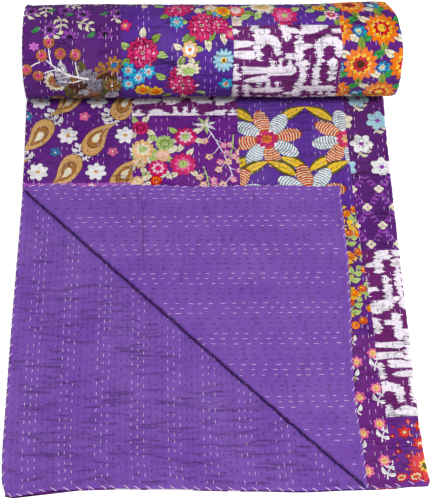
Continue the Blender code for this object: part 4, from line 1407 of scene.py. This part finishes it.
def printed_patch(patch):
    """The patch as a mesh whose triangles follow the outlines of its print."""
    points, edges = patch.points()
    box, shapes = patch.box(), []
    if patch.design != "ikat":
        cloth = DESIGNS[patch.design](box)
        shapes = list(thinned(cloth.shapes))
        points, edges = with_outlines(points, edges, shapes, box)
    extra = crease_points(patch.creases())
    extra = extra[patch.holds(extra[:, 0], extra[:, 1], CREASE_CLEAR)]
    points, faces = triangulated(np.concatenate((points, extra)), edges, patch.holds)
    u, v = points.T
    shift, shade = creased(patch.creases(), u, v)
    places = laid(u, v, surface_out(u, v, 1, seam_dip(u, v, patch.seams()), shift))
    made = add_mesh(patch.name, places, faces, PRINT_CLOTH if shapes else RESIST_CLOTH)
    if shapes:
        middles = points[faces].mean(axis=1) * 1000
        dyes = np.tile(cloth.ground, (len(faces), 1))
        for outline, dye in shapes:
            dyes[holds(outline, middles)] = dye
        add_values(made, "dye", "FLOAT_VECTOR", "FACE", dyes)
    else:
        strokes = list(figure_strokes(patch))
        beside, depth, beyond = (resist_depth(strokes, 1000 * u + step, 1000 * v) for step in (-2, 0, 2))
        slope = np.abs(beyond - beside) / 4
        resist = np.stack((depth, slope, np.zeros_like(depth)), axis=1)
        add_values(made, "resist", "FLOAT_VECTOR", "POINT", resist)
    # painted shade down in the creases, which darkens the print's colour in the shader
    add_values(made, "shade", "FLOAT", "POINT", shade)
    left, right = patch.sides(v)
    size = (float(right.max() - left.min()), patch.end - patch.start)
    add_cloth_maps(made, points, faces, (float(left.min()), patch.start), size)
    return made, size


# ---- Threads -------------------------------------------------------------------------------------------

OFF_CLOTH = 0.0004  # a small step off the cloth, to find which way is up on it
THREAD_ROUND, THREAD_RUN, THREAD_APART = 0.0025, 0.008, 0.013  # of a thread's map, and from one to the next
TICK_ENDS = (0.006, 0.02)  # from the hem's start to the first one, and from its end to the last
TICK_STRAY = 0.002
TICK_REACHES = (0.0036, 0.0052)  # from the hem inwards
TICK_OUT, TICK_OFF = 0.0008, 0.0005  # past the hem, and from the faces


def thread_mesh(name, u, v, out, side, ring, half_width, height, material):
    """Threads on the cloth. Each row of u, v and out is the path of one, and ring the angles round it."""
    places = laid(u, v, out)
    along = np.gradient(places, axis=1)
    along /= np.linalg.norm(along, axis=2, keepdims=True) + 1e-12
    above = laid(u, v, out + side * OFF_CLOTH) - places
    above -= along * (above * along).sum(axis=2, keepdims=True)
    above /= np.linalg.norm(above, axis=2, keepdims=True) + 1e-12
    beside = np.cross(along, above)
    slim = (1 - 0.35 * np.abs(np.linspace(-1, 1, u.shape[1])) ** 3)[None, :, None, None]
    angle = ring[None, None, :, None]
    points = (places[:, :, None] + beside[:, :, None] * np.cos(angle) * half_width * slim
              + above[:, :, None] * np.sin(angle) * height * slim)
    points[..., 2] = np.maximum(points[..., 2], 0.0)
    count, length, around_it = points.shape[:3]
    index = np.arange(count * length * around_it).reshape(count, length, around_it)
    near, far = (np.concatenate((part, part[:, :, :1]), axis=2) for part in (index[:, :-1], index[:, 1:]))
    faces = np.stack((near[:, :, :-1], far[:, :, :-1], far[:, :, 1:], near[:, :, 1:]), axis=-1).reshape(-1, 4)
    made = add_mesh(name, points.reshape(-1, 3), faces, material)
    run = np.linspace(0, THREAD_RUN, length)
    maps = np.zeros((count, length, around_it, 2))
    maps[..., 0] = np.linspace(0, THREAD_ROUND, around_it)
    maps[..., 1] = run[:, None] + (np.arange(count) * THREAD_APART)[:, None, None]
    add_map(made, "cloth", maps.reshape(-1, 2)[faces.ravel()])
    return made


def running_stitches(side, shows, seed):
    """The stitches of the rows: row numbers, middles along the quilt, lengths and slants."""
    random = np.random.default_rng(seed)
    found = []
    for row in range(1, int(QUILT_WIDTH / STITCH_ROW)):
        pitch = CLOSE_PITCH if side < 0 and row * STITCH_ROW > HALF_WIDTH else STITCH_PITCH
        v = 0.012 + random.uniform(0, pitch) + np.arange(0, STITCHED_END, pitch)
        v = v + random.uniform(-STITCH_STRAY, STITCH_STRAY, len(v)) * pitch
        length = pitch * random.uniform(*STITCH_SHARES[side], len(v))
        u = row * STITCH_ROW - row_wander(np.full_like(v, row * STITCH_ROW), v)
        keep = shows(u, v) & (random.uniform(size=len(v)) > MISSED)
        slant = random.uniform(-1, 1, len(v))
        found.append(np.stack((np.full(len(v), float(row)), v, length, slant))[:, keep])
    return np.concatenate(found, axis=1)


def add_running_stitches(name, side, shows, seed, creases):
    row, v, length, slant = running_stitches(side, shows, seed)
    share = np.linspace(-0.5, 0.5, 5)
    path_v = v[:, None] + share * length[:, None]
    row_u = np.broadcast_to((row * STITCH_ROW)[:, None], path_v.shape)
    path_u = row_u - row_wander(row_u, path_v) + share * slant[:, None] * STITCH_SLANT
    lift = STITCH_LIFT - STITCH_DIVE * (2 * share) ** 4
    shift = creased(creases, path_u.ravel(), path_v.ravel())[0].reshape(path_u.shape)
    out = surface_out(path_u, path_v, side, 0.0, shift) + side * lift
    pale = ((row.astype(int) - 1) // ROWS_ALIKE) % 2 == 0
    ring = np.linspace(-0.15, math.pi + 0.15, 3)
    made = []
    for shade, chosen, material in (("pale", pale, PALE_THREAD), ("dark", ~pale, DARK_THREAD)):
        made.append(thread_mesh("%s_stitches_%s" % (shade, name), path_u[chosen], path_v[chosen], out[chosen],
                                side, ring, *RUNNING_THREAD, material))
    return made


def add_hem_stitches():
    """Thread wound over the hems, as slanting ticks on both sides of the cloth."""
    random = np.random.default_rng(77)
    share = np.linspace(-1, 1, 9)
    paths = []
    for hem, reach in (("near", QUILT_WIDTH), ("left", STITCHED_END), ("right", STITCHED_END)):
        starts = np.arange(TICK_ENDS[0], reach - TICK_ENDS[1], WHIP_PITCH)
        starts = starts + random.uniform(-TICK_STRAY, TICK_STRAY, len(starts))
        span = WHIP_PITCH * random.uniform(0.8, 1.0, len(starts))
        inwards = random.uniform(*TICK_REACHES, len(starts))
        along = starts[:, None] + (share + 1) / 2 * span[:, None]
        inset = inwards[:, None] * np.abs(share) - TICK_OUT * (1 - np.abs(share)) ** 2
        u, v = {"near": (along, inset), "left": (inset, along), "right": (QUILT_WIDTH - inset, along)}[hem]
        face = HALF * np.sqrt(1 - np.clip(1 - inset / HEM_ROUND, 0, 1) ** 2) + TICK_OFF
        paths.append((u, v, face * np.sign(-share) * np.minimum(1, np.abs(share) * 4)))
    u, v, out = (np.concatenate(part) for part in zip(*paths))
    return thread_mesh("hem_stitches", u, v, out, 1, around(5), *HEM_THREAD, PALE_THREAD)


def shows_on_backing(u, v):
    """The turned corner, and the corner of the lower layer beside it."""
    return (u + v < CORNER_LEG - 0.003) | (QUILT_WIDTH - u + v < CORNER_LEG + 0.02)


# ---- The quilt -----------------------------------------------------------------------------------------

backing = backing_cloth()
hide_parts("backing")
for column, (ends, designs) in enumerate(COLUMNS):
    for start, end, design in zip(ends, ends[1:], designs.split()):
        made, size = printed_patch(Patch(column, start, end, design.rstrip("*"), design.endswith("*")))
        nodes = ["patchwork_face"] if start < ROLL_START_Y else []
        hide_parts(*(nodes + ["rolled_length"] if end > ROLL_START_Y else nodes))
backing_threads = add_running_stitches("backing", -1, shows_on_backing, 61, PLAIN_CREASES)
backing_threads.append(add_hem_stitches())
for thread in add_running_stitches("print", 1, shows_on_print, 62, PRINT_CREASES):
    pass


# ---- Floor, light and camera ---------------------------------------------------------------------------

FLOOR_EXTENT, FLOOR_DROP = 6.0, 0.0004
LAMPS = (("key", (3.2, -2.2, 5.2), 1.3, 390.0), ("fill", (-1.6, -0.9, 2.4), 2.0, 7.0))  # place, size, energy

# The photo's camera, as fitted to the edges of the quilt
CAMERA_PLACE = (-0.0303, -1.3567, 2.2104)
CAMERA_PITCH, CAMERA_YAW, CAMERA_ROLL = 1.0211, -0.0251, 0.0122
FOCAL_LENGTH, PHOTO_HEIGHT = 1305.16, 500  # in pixels
SENSOR_WIDTH = 36


def studio():
    corners = [(x * FLOOR_EXTENT, y * FLOOR_EXTENT, 0) for x, y in ((-1, -1), (1, -1), (1, 1), (-1, 1))]
    mesh = bpy.data.meshes.new("floor")
    mesh.from_pydata(corners, [], [(0, 1, 2, 3)])
    mesh.materials.append(floor_material())
    floor = add_object("floor", mesh)
    floor.location.z = -FLOOR_DROP

    world = bpy.data.worlds.new("studio")
    bpy.context.scene.world = world
    world.use_nodes = True
    background = world.node_tree.nodes["Background"].inputs
    background["Color"].default_value = (1.0, 1.0, 1.0, 1.0)
    background["Strength"].default_value = 0.4
    for name, place, size, energy in LAMPS:
        light = bpy.data.lights.new(name, "AREA")
        light.size = size
        light.energy = energy
        lamp = add_object(name, light)
        lamp.location = place
        lamp.rotation_euler = (-Vector(place)).to_track_quat("-Z", "Y").to_euler()
    bpy.context.scene.view_settings.view_transform = "Standard"


def photograph_camera():
    pitch, yaw, roll = CAMERA_PITCH, CAMERA_YAW, CAMERA_ROLL
    forward = Vector((-math.sin(yaw) * math.cos(pitch), math.cos(yaw) * math.cos(pitch), -math.sin(pitch)))
    right = Vector((math.cos(yaw), math.sin(yaw), 0.0))
    up = right.cross(forward)
    turned_right = math.cos(roll) * right + math.sin(roll) * up
    turned_up = -math.sin(roll) * right + math.cos(roll) * up
    data = bpy.data.cameras.new("camera")
    data.lens = FOCAL_LENGTH / PHOTO_HEIGHT * SENSOR_WIDTH
    data.sensor_width = SENSOR_WIDTH
    camera = add_object("camera", data)
    turn = Matrix((turned_right, turned_up, -forward)).transposed().to_4x4()
    camera.matrix_world = Matrix.Translation(CAMERA_PLACE) @ turn
    bpy.context.scene.camera = camera


studio()
photograph_camera()
